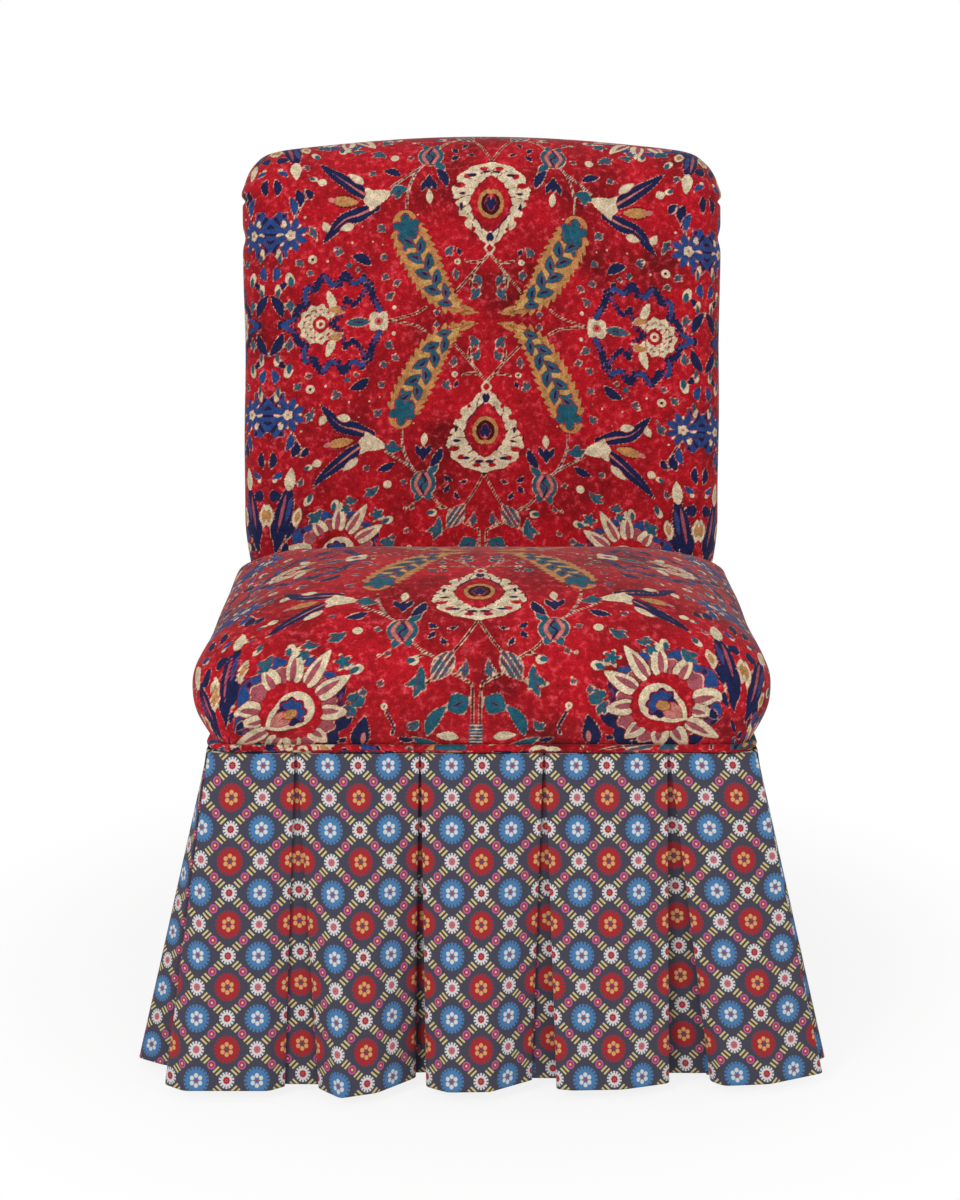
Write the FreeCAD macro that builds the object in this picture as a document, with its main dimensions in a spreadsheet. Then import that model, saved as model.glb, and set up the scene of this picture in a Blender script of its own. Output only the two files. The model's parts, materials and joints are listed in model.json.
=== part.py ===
import FreeCAD, Part
import Sketcher
import math
import os
import re

# Armless slipper chair: a doweled hardwood frame, a coil-sprung seat and a webbed, reclined back,
# both covered tight in velvet, with a self welt and a box-pleated skirt that hides the legs.
# Millimetres. The front faces -Y, +Z is up, and the origin is on the floor under the middle.

Vector = FreeCAD.Vector
doc = FreeCAD.newDocument("slipper_chair")
sheet = doc.addObject("Spreadsheet::Sheet", "Sizes")

SIZES = [
    # Seat frame
    ("frame_width", 520, "outside of the side rails"),
    ("frame_depth", 580, "front rail face to rear rail face"),
    ("frame_front", 312, "front rail face ahead of the origin"),
    ("rail_thickness", 28, "thickness of every seat rail"),
    ("rail_height", 90, "height of every seat rail"),
    ("rail_top", 355, "top of the seat rails above the floor"),
    ("rail_inset", 3, "rear rail set in from the rear posts' back faces"),
    # Legs and posts
    ("leg_side", 45, "square front leg"),
    ("leg_foot_side", 32, "front leg at the glide"),
    ("leg_corner_radius", 18, "rounded outer corner of a front leg"),
    ("post_width", 32, "rear post across the chair"),
    ("post_depth", 42, "rear post front to back"),
    ("post_corner_radius", 8, "rounded outer rear corner of a post"),
    ("post_length", 500, "rear post above the seat rails, along its slope"),
    ("rear_foot_depth", 34, "rear foot front to back at the glide"),
    ("rear_foot_kick", 26, "rear foot set back from the rail face"),
    ("back_recline", 9, "degrees that the back leans from upright"),
    # Back rails
    ("back_rail_thickness", 26, "back rails front to back"),
    ("stay_rail_height", 50, "lower back rail"),
    ("stay_rail_rise", 55, "gap from the seat rails to the lower back rail"),
    ("crest_rail_height", 60, "top back rail"),
    # Joinery and fittings
    ("dowel_diameter", 10, "beech dowel"),
    ("dowel_depth", 20, "dowel in each piece"),
    ("dowel_spacing", 46, "pair in a seat rail's end"),
    ("side_dowel_spacing", 22, "pair in a side rail's end"),
    ("back_dowel_spacing", 26, "pair in a back rail's end"),
    ("block_reach", 80, "corner block along each rail past the leg"),
    ("block_thickness", 30, "corner block height"),
    ("block_drop", 12, "corner block below the rail's top"),
    ("screw_diameter", 4.5, "corner block screw shank"),
    ("screw_head_diameter", 9, "corner block screw head"),
    ("screw_head_height", 2.6, "corner block screw head"),
    ("screw_bite", 18, "screw into the rail"),
    ("glide_diameter", 22, "nail-on glide"),
    ("glide_height", 5, "nail-on glide, with its flat foot"),
    ("glide_nail_diameter", 3, "glide's nail"),
    ("glide_nail_length", 18, "glide's nail"),
    # Seat suspension
    ("webbing_width", 50, "jute webbing"),
    ("webbing_thickness", 1.6, "jute webbing"),
    ("seat_webbing_pitch", 80, "least from strip to strip under the seat"),
    ("back_webbing_pitch", 100, "least from strip to strip in the back"),
    ("spring_radius", 36, "middle of the wire"),
    ("spring_wire", 4, "wire diameter"),
    ("spring_height", 140, "tied height, outside the wire"),
    ("spring_turns", 6, "whole turns in a seat spring"),
    ("spring_pitch_across", 125, "seat springs across"),
    ("spring_pitch_along", 125, "seat springs front to back"),
    ("twine_diameter", 3, "spring twine"),
    ("hessian_thickness", 1.2, "woven jute over springs and back webbing"),
    ("hessian_slope", 52, "hessian falls from springs to rail over this run"),
    ("edge_roll_diameter", 26, "stuffed roll on the rail tops"),
    # Seat upholstery
    ("cover_thickness", 2, "velvet with its backing"),
    ("cover_hem_drop", 22, "cover below the rail's top"),
    ("seat_bulge", 24, "seat beyond the frame at its widest"),
    ("seat_bulge_rise", 55, "widest line above the rail's top"),
    ("seat_crown_rise", 153, "crown above the rail's top"),
    ("seat_crown_ahead", 110, "crown ahead of the frame's middle"),
    ("seat_rear_run", 300, "crown to where the seat tucks in under the back"),
    ("seat_rear_fall", 88, "fall over that run"),
    ("seat_rear_curve", 1.6, "power of that fall"),
    ("seat_corner_swell", 40, "corner radius gained from the rails to the widest line"),
    ("seat_side_fullness", 2.5, "power of the crown's curve across"),
    ("soft_gap", 0.4, "between a cover and the next soft piece"),
    # Back upholstery
    ("back_pad_depth", 66, "front of the post to the pad's face at the sides"),
    ("back_crown", 14, "face ahead of its side edges in the middle"),
    ("back_side_bulge", 22, "back beyond the frame at its sides"),
    ("back_side_draw", 120, "height over which the sides draw in to the rail"),
    ("back_front_radius", 46, "rolled front edges"),
    ("back_rear_radius", 14, "rear edges"),
    ("back_rear_depth", 11, "post's back to the outside back"),
    ("back_pad_foot", 12, "padding round a post starts this far above the seat rails"),
    ("back_top_roll", 62, "height of the rolled top edge"),
    ("back_top_rise", 46, "shoulder of the roll above the posts' tops, less the roll"),
    ("back_top_arch", 18, "arch of the top edge across"),
    ("outside_back_margin", 16, "outside back panel set in from the edges"),
    ("back_felt_thickness", 4, "cotton felt under the outside back"),
    ("back_felt_foot", 22, "felt starts this far above the seat rails, along the slope"),
    # Welt and skirt
    ("welt_diameter", 8, "covered piping cord"),
    ("strip_thickness", 1.5, "card tacking strip"),
    ("strip_height", 12, "card tacking strip"),
    ("skirt_cloth", 1.4, "skirt cloth with its lining"),
    ("skirt_gap", 0.5, "skirt clear of what is behind it"),
    ("skirt_fold_gap", 0.7, "between the layers of a closed pleat"),
    ("skirt_hem_clearance", 12, "hem above the floor"),
    ("pleat_spacing", 121, "box pleat to box pleat"),
    ("pleat_underlay", 30, "cloth folded behind each side of a pleat"),
    ("pleat_fold_depth", 15, "hem: depth between the layers of a pleat"),
    ("pleat_opening", 16, "hem: gap between two boxes"),
    ("skirt_front_flare", 36, "front hem ahead of the skirt's top"),
    ("skirt_side_flare", 82, "side hem beyond the skirt's top"),
    ("skirt_rear_flare", 34, "rear hem behind the skirt's top"),
    ("skirt_corner_gap", 20, "hem: open corner between two panels"),
    # Underside
    ("dust_cover_thickness", 0.8, "black cambric"),
    ("dust_cover_margin", 8, "cambric in from the frame's outside"),
]
for row, (alias, number, note) in enumerate(SIZES, start=1):
    sheet.set("A%d" % row, str(number))
    sheet.setAlias("A%d" % row, alias)
    sheet.set("B%d" % row, note)
doc.recompute()

KNOWN = {alias for alias, number, note in SIZES}
size = {alias: float(sheet.get(alias)) for alias in KNOWN}


def bound(text):
    """An expression in plain names, with each name turned into its cell of the sheet."""
    return re.sub(r"[a-z_]+", lambda m: "Sizes." + m.group() if m.group() in KNOWN else m.group(), text)


# Places that several pieces share, each worked out once from the sheet.
HALF = "frame_width / 2"
FRONT = "(-frame_front)"
REAR = "(frame_depth - frame_front)"
RAIL_BOTTOM = "(rail_top - rail_height)"
POST_FRONT = "(frame_depth - frame_front - post_depth)"

half_width = size["frame_width"] / 2
front_y = -size["frame_front"]
rear_y = size["frame_depth"] - size["frame_front"]
rail_bottom = size["rail_top"] - size["rail_height"]
post_front_y = rear_y - size["post_depth"]
recline = math.radians(size["back_recline"])


PAST = 1.0      # a cutting solid runs this far past the face that it opens
FAR = 2000.0    # longer than any chair, for cutting solids that reach right through


# Makers

def polygon_sketch(body, role, corners, name="profile"):
    """A closed outline on one of the body's own origin planes. Each corner is a pair of expressions.

    It starts as a rough round polygon, which the bound distances then pull to shape.
    """
    sketch = body.newObject("Sketcher::SketchObject", name)
    plane = [f for f in body.Origin.OriginFeatures if f.Role == role][0]
    sketch.AttachmentSupport = [(plane, "")]
    sketch.MapMode = "FlatFace"
    count = len(corners)
    rough = 100.0
    for i in range(count):
        angle = 2 * math.pi * i / count
        after = 2 * math.pi * (i + 1) / count
        sketch.addGeometry(Part.LineSegment(
            Vector(rough * math.cos(angle), rough * math.sin(angle), 0),
            Vector(rough * math.cos(after), rough * math.sin(after), 0)))
    for i in range(count):
        sketch.addConstraint(Sketcher.Constraint("Coincident", i, 2, (i + 1) % count, 1))
    for i, (across, up) in enumerate(corners):
        for kind, text in (("DistanceX", across), ("DistanceY", up)):
            index = sketch.addConstraint(Sketcher.Constraint(kind, -1, 1, i, 1, rough))
            sketch.setExpression("Constraints[%d]" % index, bound(text))
    return sketch


def padded_body(name, role, corners, thickness, place=None, midplane=False):
    """A piece cut from flat stock: an outline given a thickness."""
    body = doc.addObject("PartDesign::Body", name)
    sketch = polygon_sketch(body, role, corners)
    pad = body.newObject("PartDesign::Pad", "pad")
    pad.Profile = sketch
    pad.Midplane = midplane
    pad.setExpression("Length", bound(thickness))
    for axis, text in (place or {}).items():
        body.setExpression("Placement.Base." + axis, bound(text))
    return body


def stock_box(name, low, lengths):
    """A square-cut length of stock from its low corner, all six sizes bound to the sheet."""
    box = doc.addObject("Part::Box", name)
    for axis, text in zip("xyz", low):
        box.setExpression("Placement.Base." + axis, bound(text))
    for field, text in zip(("Length", "Width", "Height"), lengths):
        box.setExpression(field, bound(text))
    return box


def rod(name, base, direction, radius, length):
    """A round rod from base along direction, bound to the sheet."""
    cylinder = doc.addObject("Part::Cylinder", name)
    cylinder.Placement.Rotation = FreeCAD.Rotation(Vector(0, 0, 1), direction)
    for axis, text in zip("xyz", base):
        cylinder.setExpression("Placement.Base." + axis, bound(text))
    cylinder.setExpression("Radius", bound(radius))
    cylinder.setExpression("Height", bound(length))
    return cylinder


def group(name, pieces):
    """Identical pieces under one name, each still its own solid."""
    together = doc.addObject("Part::Compound", name)
    together.Links = pieces
    return together


def minus(name, base, tool):
    """base with tool's shape cut out of it."""
    cut = doc.addObject("Part::Cut", name)
    cut.Base = base
    cut.Tool = tool
    return cut


def solid(name, shape):
    """A piece whose shape no sketch or primitive gives."""
    feature = doc.addObject("Part::Feature", name)
    feature.Shape = shape
    return feature


def swept_round(path, start, direction, radius):
    """A round section carried along a path as a solid."""
    section = Part.Wire([Part.Edge(Part.Circle(start, direction, radius))])
    sweep = Part.BRepOffsetAPI.MakePipeShell(path)
    sweep.add(section)
    sweep.build()
    sweep.makeSolid()
    return sweep.shape()


def only_solid(shape):
    """The one solid of a boolean's result, or the largest if slivers came off it."""
    return max(shape.Solids, key=lambda s: s.Volume)


kept = []


def keep(name, piece):
    """Names a finished sub-part; its file takes this name."""
    piece.Label = name
    kept.append(piece)
    return piece


# Joinery: dowels, corner-block screws and glide nails, whose shapes also bore their own holes

def dowel_pair(name, x, y, direction, low_z, spacing):
    """Two dowels, one above the other, centred on the joint's face."""
    return [rod(name + end, (x, y, low_z + sign + spacing + " / 2"), direction,
                "dowel_diameter / 2", "2 * dowel_depth")
            for end, sign in (("_low", " - "), ("_high", " + "))]


mid_rail = "rail_top - rail_height / 2"
dowels = []
for side, sign in (("left", "-"), ("right", "")):
    inward = "-" if sign == "" else ""
    leg_face = "%s(%s - leg_side)" % (sign, HALF)
    post_face = "%s(%s - post_width)" % (sign, HALF)
    side_rail_middle = "%s(%s - rail_thickness / 2)" % (sign, HALF)
    front_rail_middle = FRONT + " + rail_thickness / 2"
    rear_rail_middle = REAR + " - rail_inset - rail_thickness / 2"
    start = " - dowel_depth"
    dowels += dowel_pair("front_dowel_" + side, leg_face + start, front_rail_middle,
                         Vector(1, 0, 0), mid_rail, "dowel_spacing")
    dowels += dowel_pair("rear_dowel_" + side, post_face + start, rear_rail_middle,
                         Vector(1, 0, 0), mid_rail, "dowel_spacing")
    dowels += dowel_pair("side_front_dowel_" + side, side_rail_middle, FRONT + " + leg_side" + start,
                         Vector(0, 1, 0), mid_rail, "side_dowel_spacing")
    dowels += dowel_pair("side_rear_dowel_" + side, side_rail_middle, POST_FRONT + start,
                         Vector(0, 1, 0), mid_rail, "side_dowel_spacing")

# The back's own frame: u runs up the reclined posts from the seat rails' top, w runs to the rear
# from the posts' front faces, and x stays across the chair.

back_origin = Vector(0, post_front_y, size["rail_top"])
up_back = Vector(0, math.sin(recline), math.cos(recline))
through_back = Vector(0, math.cos(recline), -math.sin(recline))
back_place = FreeCAD.Placement(back_origin, FreeCAD.Rotation(Vector(1, 0, 0), -size["back_recline"]))


def on_back(x, u, w):
    """A point given in the back's own frame."""
    return back_origin + Vector(x, 0, 0) + up_back * u + through_back * w


def back_slab(x_half, u_low, u_high, w_low, w_high):
    """A block square to the reclined back."""
    slab = Part.makeBox(2 * x_half, w_high - w_low, u_high - u_low, Vector(-x_half, w_low, u_low))
    slab.Placement = back_place
    return slab


crest_low = size["post_length"] - size["crest_rail_height"]
stay_low = size["stay_rail_rise"]
back_rail_front = (size["post_depth"] - size["back_rail_thickness"]) / 2
back_rail_half = half_width - size["post_width"]
back_rail_middle = size["post_depth"] / 2
back_dowel_shapes = []
for rail_low, rail_height in ((stay_low, size["stay_rail_height"]), (crest_low, size["crest_rail_height"])):
    for side in (-1, 1):
        for level in (-0.5, 0.5):
            centre_u = rail_low + rail_height / 2 + level * size["back_dowel_spacing"]
            start = on_back(side * back_rail_half - size["dowel_depth"], centre_u, back_rail_middle)
            back_dowel_shapes.append(Part.makeCylinder(
                size["dowel_diameter"] / 2, 2 * size["dowel_depth"], start, Vector(1, 0, 0)))
back_dowels = solid("back_dowels", Part.makeCompound(back_dowel_shapes))
keep("frame_dowels", group("frame_dowels", dowels + [back_dowels]))

block_low = "(rail_top - block_drop - block_thickness)"
block_middle = "(rail_top - block_drop - block_thickness / 2)"
screws = []
screw_bores = []
for side, sign in (("left", "-"), ("right", "")):
    for end in ("front", "rear"):
        across = HALF + " - leg_side - block_reach / 2" if end == "front" else \
                 HALF + " - post_width - block_reach / 2"
        along = FRONT + " + leg_side + block_reach / 2" if end == "front" else \
            POST_FRONT + " - block_reach / 2"
        rail_face_y = FRONT + " + rail_thickness" if end == "front" else \
            REAR + " - rail_inset - rail_thickness"
        rail_face_x = HALF + " - rail_thickness"
        outward_y = Vector(0, -1, 0) if end == "front" else Vector(0, 1, 0)
        step = " + " if end == "front" else " - "
        outward_x = Vector(-1, 0, 0) if sign == "-" else Vector(1, 0, 0)
        # One screw goes into the front or rear rail, the other into the side rail.
        for tag, base_x, base_y, direction in (
                ("end", "%s(%s)" % (sign, across), rail_face_y + step + "block_reach / 4", outward_y),
                ("side", "%s(%s - block_reach / 4)" % (sign, rail_face_x), along, outward_x)):
            name = "screw_%s_%s_%s" % (tag, end, side)
            shank = rod(name + "_shank", (base_x, base_y, block_middle), direction,
                        "screw_diameter / 2", "block_reach / 4 + screw_bite")
            head = doc.addObject("Part::Cylinder", name + "_head")
            head.Placement.Rotation = FreeCAD.Rotation(Vector(0, 0, 1), -1 * direction)
            for axis, text in zip("xyz", (base_x, base_y, block_middle)):
                head.setExpression("Placement.Base." + axis, bound(text))
            head.setExpression("Radius", bound("screw_head_diameter / 2"))
            head.setExpression("Height", bound("screw_head_height"))
            clear = doc.addObject("Part::Cylinder", name + "_clear")
            clear.Placement.Rotation = head.Placement.Rotation
            for axis, text in zip("xyz", (base_x, base_y, block_middle)):
                clear.setExpression("Placement.Base." + axis, bound(text))
            clear.setExpression("Radius", bound("screw_head_diameter / 2 + 1"))
            clear.setExpression("Height", bound("block_reach"))
            whole = doc.addObject("Part::Fuse", name)
            whole.Base = shank
            whole.Tool = head
            screws.append(whole)
            screw_bores += [shank, clear]
screw_holes = group("screw_holes", screw_bores)
keep("corner_block_screws", group("corner_block_screws", screws))

glide_centres = {}
glides = []
glide_nails = []
for side, sign in (("left", "-"), ("right", "")):
    glide_centres["front", side] = ("%s(%s - leg_foot_side / 2)" % (sign, HALF),
                                    FRONT + " + leg_foot_side / 2")
    glide_centres["rear", side] = ("%s(%s - post_width / 2)" % (sign, HALF),
                                   REAR + " + rear_foot_kick - rear_foot_depth / 2")
for (end, side), (x, y) in glide_centres.items():
    name = "glide_%s_%s" % (end, side)
    pad = rod(name + "_pad", (x, y, "0"), Vector(0, 0, 1), "glide_diameter / 2", "glide_height")
    nail = rod(name + "_nail", (x, y, "glide_height"), Vector(0, 0, 1),
               "glide_nail_diameter / 2", "glide_nail_length")
    rim = doc.addObject("Part::Chamfer", name + "_rim")
    rim.Base = pad
    doc.recompute()
    foot_edge = [i for i, e in enumerate(pad.Shape.Edges, start=1)
                 if e.BoundBox.ZMax < 0.01 and len(e.Vertexes) == 1][0]
    rim.Edges = [(foot_edge, size["glide_height"] / 3, size["glide_height"] / 3)]
    whole = doc.addObject("Part::Fuse", name)
    whole.Base = rim
    whole.Tool = nail
    glides.append(whole)
    glide_nails.append(nail)
nail_holes = group("nail_holes", glide_nails)
keep("leg_glides", group("leg_glides", glides))
wood_bores = group("wood_bores", [kept[0], screw_holes, nail_holes])


# Legs, posts and rails

def front_leg(side, sign):
    """Square to the rail's underside, then tapered on its two inner faces to the glide."""
    outer = "%s(%s)" % (sign, HALF)
    inner = "%s(%s - leg_side)" % (sign, HALF)
    inner_foot = "%s(%s - leg_foot_side)" % (sign, HALF)
    body = doc.addObject("PartDesign::Body", "leg_body_" + side)

    def section(name, inner_x, back_y, height):
        sketch = polygon_sketch(body, "XY_Plane", [
            (outer, FRONT), (inner_x, FRONT), (inner_x, back_y), (outer, back_y)], name)
        sketch.setExpression("AttachmentOffset.Base.z", bound(height))
        return sketch

    foot = section("foot", inner_foot, FRONT + " + leg_foot_side", "glide_height")
    shoulder = section("shoulder", inner, FRONT + " + leg_side", RAIL_BOTTOM)
    taper = body.newObject("PartDesign::AdditiveLoft", "taper")
    taper.Profile = foot
    taper.Sections = [shoulder]
    taper.Ruled = True
    head = section("head", inner, FRONT + " + leg_side", RAIL_BOTTOM)
    block = body.newObject("PartDesign::Pad", "block")
    block.Profile = head
    block.setExpression("Length", bound("rail_height"))
    doc.recompute()
    outer_x = -half_width if sign == "-" else half_width
    corner = ["Edge%d" % i for i, e in enumerate(block.Shape.Edges, start=1)
              if abs(e.BoundBox.XMin - outer_x) < 0.01 and abs(e.BoundBox.XMax - outer_x) < 0.01
              and abs(e.BoundBox.YMin - front_y) < 0.01 and abs(e.BoundBox.YMax - front_y) < 0.01]
    rounding = body.newObject("PartDesign::Fillet", "rounding")
    rounding.Base = (block, corner)
    rounding.setExpression("Radius", bound("leg_corner_radius"))
    body.Tip = rounding
    return body


def rear_post(side, sign):
    """One plank from the foot to the top of the back, kicked back below and reclined above."""
    rise = "post_length * cos(back_recline)"
    lean = "post_length * sin(back_recline)"
    corners = [
        (REAR + " + rear_foot_kick - rear_foot_depth", "glide_height"),
        (REAR + " + rear_foot_kick", "glide_height"),
        (REAR, RAIL_BOTTOM),
        (REAR, "rail_top - post_depth * (1 - cos(back_recline)) / sin(back_recline)"),
        (POST_FRONT + " + post_depth * cos(back_recline) + " + lean,
         "rail_top - post_depth * sin(back_recline) + " + rise),
        (POST_FRONT + " + " + lean, "rail_top + " + rise),
        (POST_FRONT, "rail_top"),
        (POST_FRONT, RAIL_BOTTOM),
    ]
    corner_x = "%s(%s - post_width / 2)" % (sign, HALF)
    body = padded_body("post_body_" + side, "YZ_Plane", corners, "post_width", {"x": corner_x}, True)
    doc.recompute()
    pad = body.Tip
    outer_x = (-1 if sign == "-" else 1) * size["post_width"] / 2
    long_rear_edges = []
    for i, e in enumerate(pad.Shape.Edges, start=1):
        box = e.BoundBox
        on_outside = abs(box.XMin - outer_x) < 0.01 and abs(box.XMax - outer_x) < 0.01
        at_rear = box.YMax > rear_y + 0.5 * size["back_rear_depth"] and box.ZMin > size["rail_top"] - 50
        if on_outside and at_rear and box.ZMax - box.ZMin > size["post_length"] / 2:
            long_rear_edges.append("Edge%d" % i)
    rounding = body.newObject("PartDesign::Fillet", "rounding")
    rounding.Base = (pad, long_rear_edges)
    rounding.setExpression("Radius", bound("post_corner_radius"))
    body.Tip = rounding
    return body


for side, sign in (("left", "-"), ("right", "")):
    keep("front_leg_" + side, minus("front_leg_" + side, front_leg(side, sign), wood_bores))
    keep("rear_post_" + side, minus("rear_post_" + side, rear_post(side, sign), wood_bores))
    low_x = "-" + HALF if sign == "-" else HALF + " - rail_thickness"
    blank = stock_box("side_rail_blank_" + side, (low_x, FRONT + " + leg_side", RAIL_BOTTOM),
                      ("rail_thickness", "frame_depth - leg_side - post_depth", "rail_height"))
    keep("side_rail_" + side, minus("side_rail_" + side, blank, wood_bores))

front_blank = stock_box("front_rail_blank", ("-(%s - leg_side)" % HALF, FRONT, RAIL_BOTTOM),
                        ("frame_width - 2 * leg_side", "rail_thickness", "rail_height"))
keep("front_rail", minus("front_rail", front_blank, wood_bores))
rear_blank = stock_box("rear_rail_blank",
                       ("-(%s - post_width)" % HALF, REAR + " - rail_inset - rail_thickness", RAIL_BOTTOM),
                       ("frame_width - 2 * post_width", "rail_thickness", "rail_height"))
keep("rear_rail", minus("rear_rail", rear_blank, wood_bores))

for name, low, height in (("back_stay_rail", stay_low, size["stay_rail_height"]),
                          ("back_crest_rail", crest_low, size["crest_rail_height"])):
    rail_shape = back_slab(back_rail_half, low, low + height, back_rail_front,
                           back_rail_front + size["back_rail_thickness"])
    keep(name, minus(name, solid(name + "_blank", rail_shape), wood_bores))


def corner_block(side, sign, end):
    """A five-sided block that fits round the leg and lies on two rails."""
    rail_x = "%s(%s - rail_thickness)" % (sign, HALF)
    if end == "front":
        leg_x = "%s(%s - leg_side)" % (sign, HALF)
        leg_y = FRONT + " + leg_side"
        rail_y = FRONT + " + rail_thickness"
        far_x = "%s(%s - leg_side - block_reach)" % (sign, HALF)
        far_y = leg_y + " + block_reach"
    else:
        leg_x = "%s(%s - post_width)" % (sign, HALF)
        leg_y = POST_FRONT
        rail_y = REAR + " - rail_inset - rail_thickness"
        far_x = "%s(%s - post_width - block_reach)" % (sign, HALF)
        far_y = leg_y + " - block_reach"
    corners = [(rail_x, leg_y), (leg_x, leg_y), (leg_x, rail_y), (far_x, rail_y), (rail_x, far_y)]
    name = "block_%s_%s" % (end, side)
    body = padded_body(name, "XY_Plane", corners, "block_thickness", {"z": block_low})
    return minus(name + "_bored", body, screw_holes)


keep("corner_blocks", group("corner_blocks", [
    corner_block(side, sign, end) for side, sign in (("left", "-"), ("right", ""))
    for end in ("front", "rear")]))


# Seat suspension

def webbing_strips(name, along_x, low_z):
    """Strips tacked under the rails, evenly spaced inside the legs."""
    if along_x:
        length = size["frame_width"] - size["rail_thickness"]
        low, high = front_y + size["leg_side"], post_front_y
    else:
        length = size["frame_depth"] - size["rail_inset"] - size["rail_thickness"]
        low, high = -half_width + size["leg_side"], half_width - size["leg_side"]
    count = int((high - low) // size["seat_webbing_pitch"])
    gap = (high - low - count * size["webbing_width"]) / count
    strips = []
    for i in range(count):
        edge = low + gap / 2 + i * (size["webbing_width"] + gap)
        if along_x:
            corner = Vector(-length / 2, edge, low_z)
            strip = Part.makeBox(length, size["webbing_width"], size["webbing_thickness"], corner)
        else:
            corner = Vector(edge, front_y + size["rail_thickness"] / 2, low_z)
            strip = Part.makeBox(size["webbing_width"], length, size["webbing_thickness"], corner)
        strips.append(strip)
    return keep(name, solid(name, Part.makeCompound(strips)))


webbing_strips("seat_webbing_across", True, rail_bottom - size["webbing_thickness"])
webbing_strips("seat_webbing_lengthwise", False, rail_bottom - 2 * size["webbing_thickness"])

spring_centre_y = (front_y + size["rail_thickness"] + post_front_y) / 2
spring_places = [Vector(i * size["spring_pitch_across"], spring_centre_y + j * size["spring_pitch_along"],
                        rail_bottom) for i in (-1, 0, 1) for j in (-1, 0, 1)]
spring_top = rail_bottom + size["spring_height"]


def biarc(start, leaving, end, arriving):
    """Two tangent arcs from start to end that keep the unit directions given at both."""
    span = end - start
    turn = 1 - leaving.dot(arriving)
    along = span.dot(leaving + arriving)
    reach = (-along + math.sqrt(along ** 2 + 2 * turn * span.dot(span))) / (2 * turn)
    first, last = start + leaving * reach, end - arriving * reach
    joint = (first + last) * 0.5
    arcs = []
    for a, corner, b in ((start, first, joint), (joint, last, end)):
        half = (b - a).Length / 2
        foot = (a + b) * 0.5
        height = (corner - foot).Length
        radius = reach * half / height
        sagitta = radius - math.sqrt(radius ** 2 - half ** 2)
        arcs.append(Part.Arc(a, foot + (corner - foot) * (sagitta / height), b).toShape())
    return arcs


def coil_spring():
    """One spring standing on the origin: a round wire carried along a helix of quarter-turn biarcs."""
    quarters = 4 * int(size["spring_turns"])
    rise = (size["spring_height"] - size["spring_wire"]) / quarters
    radius = size["spring_radius"]
    quarter = math.pi / 2

    def place(i):
        return Vector(radius * math.cos(quarter * i), radius * math.sin(quarter * i),
                      size["spring_wire"] / 2 + rise * i)

    def direction(i):
        forward = Vector(-radius * math.sin(quarter * i), radius * math.cos(quarter * i), rise / quarter)
        return forward.normalize()

    edges = []
    for i in range(quarters):
        edges += biarc(place(i), direction(i), place(i + 1), direction(i + 1))
    least_gap = 4 * rise * math.cos(math.atan(4 * rise / (2 * math.pi * radius))) - size["spring_wire"]
    print("spring: least gap between turns %.1f mm" % least_gap)
    return swept_round(Part.Wire(edges), place(0), direction(0), size["spring_wire"] / 2)


one_spring = coil_spring()
springs = []
for place in spring_places:
    spring = one_spring.copy()
    spring.translate(place)
    springs.append(spring)
keep("seat_springs", solid("seat_springs", Part.makeCompound(springs)))

hessian_low = spring_top + size["twine_diameter"]


def spring_twine():
    """The twine net that ties the spring tops to each other, one welded net of crossing cords."""
    radius = size["twine_diameter"] / 2
    level = spring_top + radius
    reach_x = size["spring_pitch_across"] + size["spring_radius"]
    reach_y = size["spring_pitch_along"] + size["spring_radius"]
    cords = []
    for i in (-1, 0, 1):
        cords.append(Part.makeCylinder(radius, 2 * reach_y, Vector(
            i * size["spring_pitch_across"], spring_centre_y - reach_y, level), Vector(0, 1, 0)))
        cords.append(Part.makeCylinder(radius, 2 * reach_x, Vector(
            -reach_x, spring_centre_y + i * size["spring_pitch_along"], level), Vector(1, 0, 0)))
    return only_solid(cords[0].multiFuse(cords[1:]))


keep("spring_twine", solid("spring_twine", spring_twine()))

# The hessian is a flat-topped tent over the springs, tacked on the rails' inner edges.
tack_width = size["rail_thickness"] / 4
tent_half_x = half_width - size["rail_thickness"] + tack_width
tent_front = front_y + size["rail_thickness"] - tack_width
tent_rear = post_front_y + size["post_depth"] - size["rail_inset"] - size["rail_thickness"] + tack_width


def tent(grow, lift, foot=0.0):
    """The solid under the hessian: a frustum from the rails' top to the spring twine."""
    def level(z, inset):
        x_half = tent_half_x - inset
        low, high = tent_front + inset, tent_rear - inset
        return Part.makePolygon([Vector(-x_half, low, z), Vector(x_half, low, z), Vector(x_half, high, z),
                                 Vector(-x_half, high, z), Vector(-x_half, low, z)])
    base = level(size["rail_top"] - foot, -grow)
    top = level(hessian_low + lift, size["hessian_slope"] - grow)
    return Part.makeLoft([base, top], True, True)


hessian_shape = tent(0.0, size["hessian_thickness"]).cut(tent(-size["hessian_thickness"], 0.0, PAST))
keep("spring_hessian", solid("spring_hessian", only_solid(hessian_shape)))


# The seat's soft form

# Each soft form is stacked bands. The dome and the roll turn through these angles, in degrees, and
# what is left of a full quarter turn is a small flat. The other numbers are shares.
SWELL_BANDS = 4
DOME_BANDS = 8
DOME_TURN = 80
DOME_CORNER = 0.8
ROLL_BANDS = 7
ROLL_TURN = 78
ROLL_AT_SIDES = 0.6
ROLL_AT_REAR = 0.15
CORNER_LIMIT = 0.98
CREST_SLICES = ((0.94, 0.8), (0.8, 0.6), (0.55, 0.42), (0.2, 0.25))     # share of width, share of depth
CREST_CROWN = 0.5


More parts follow.
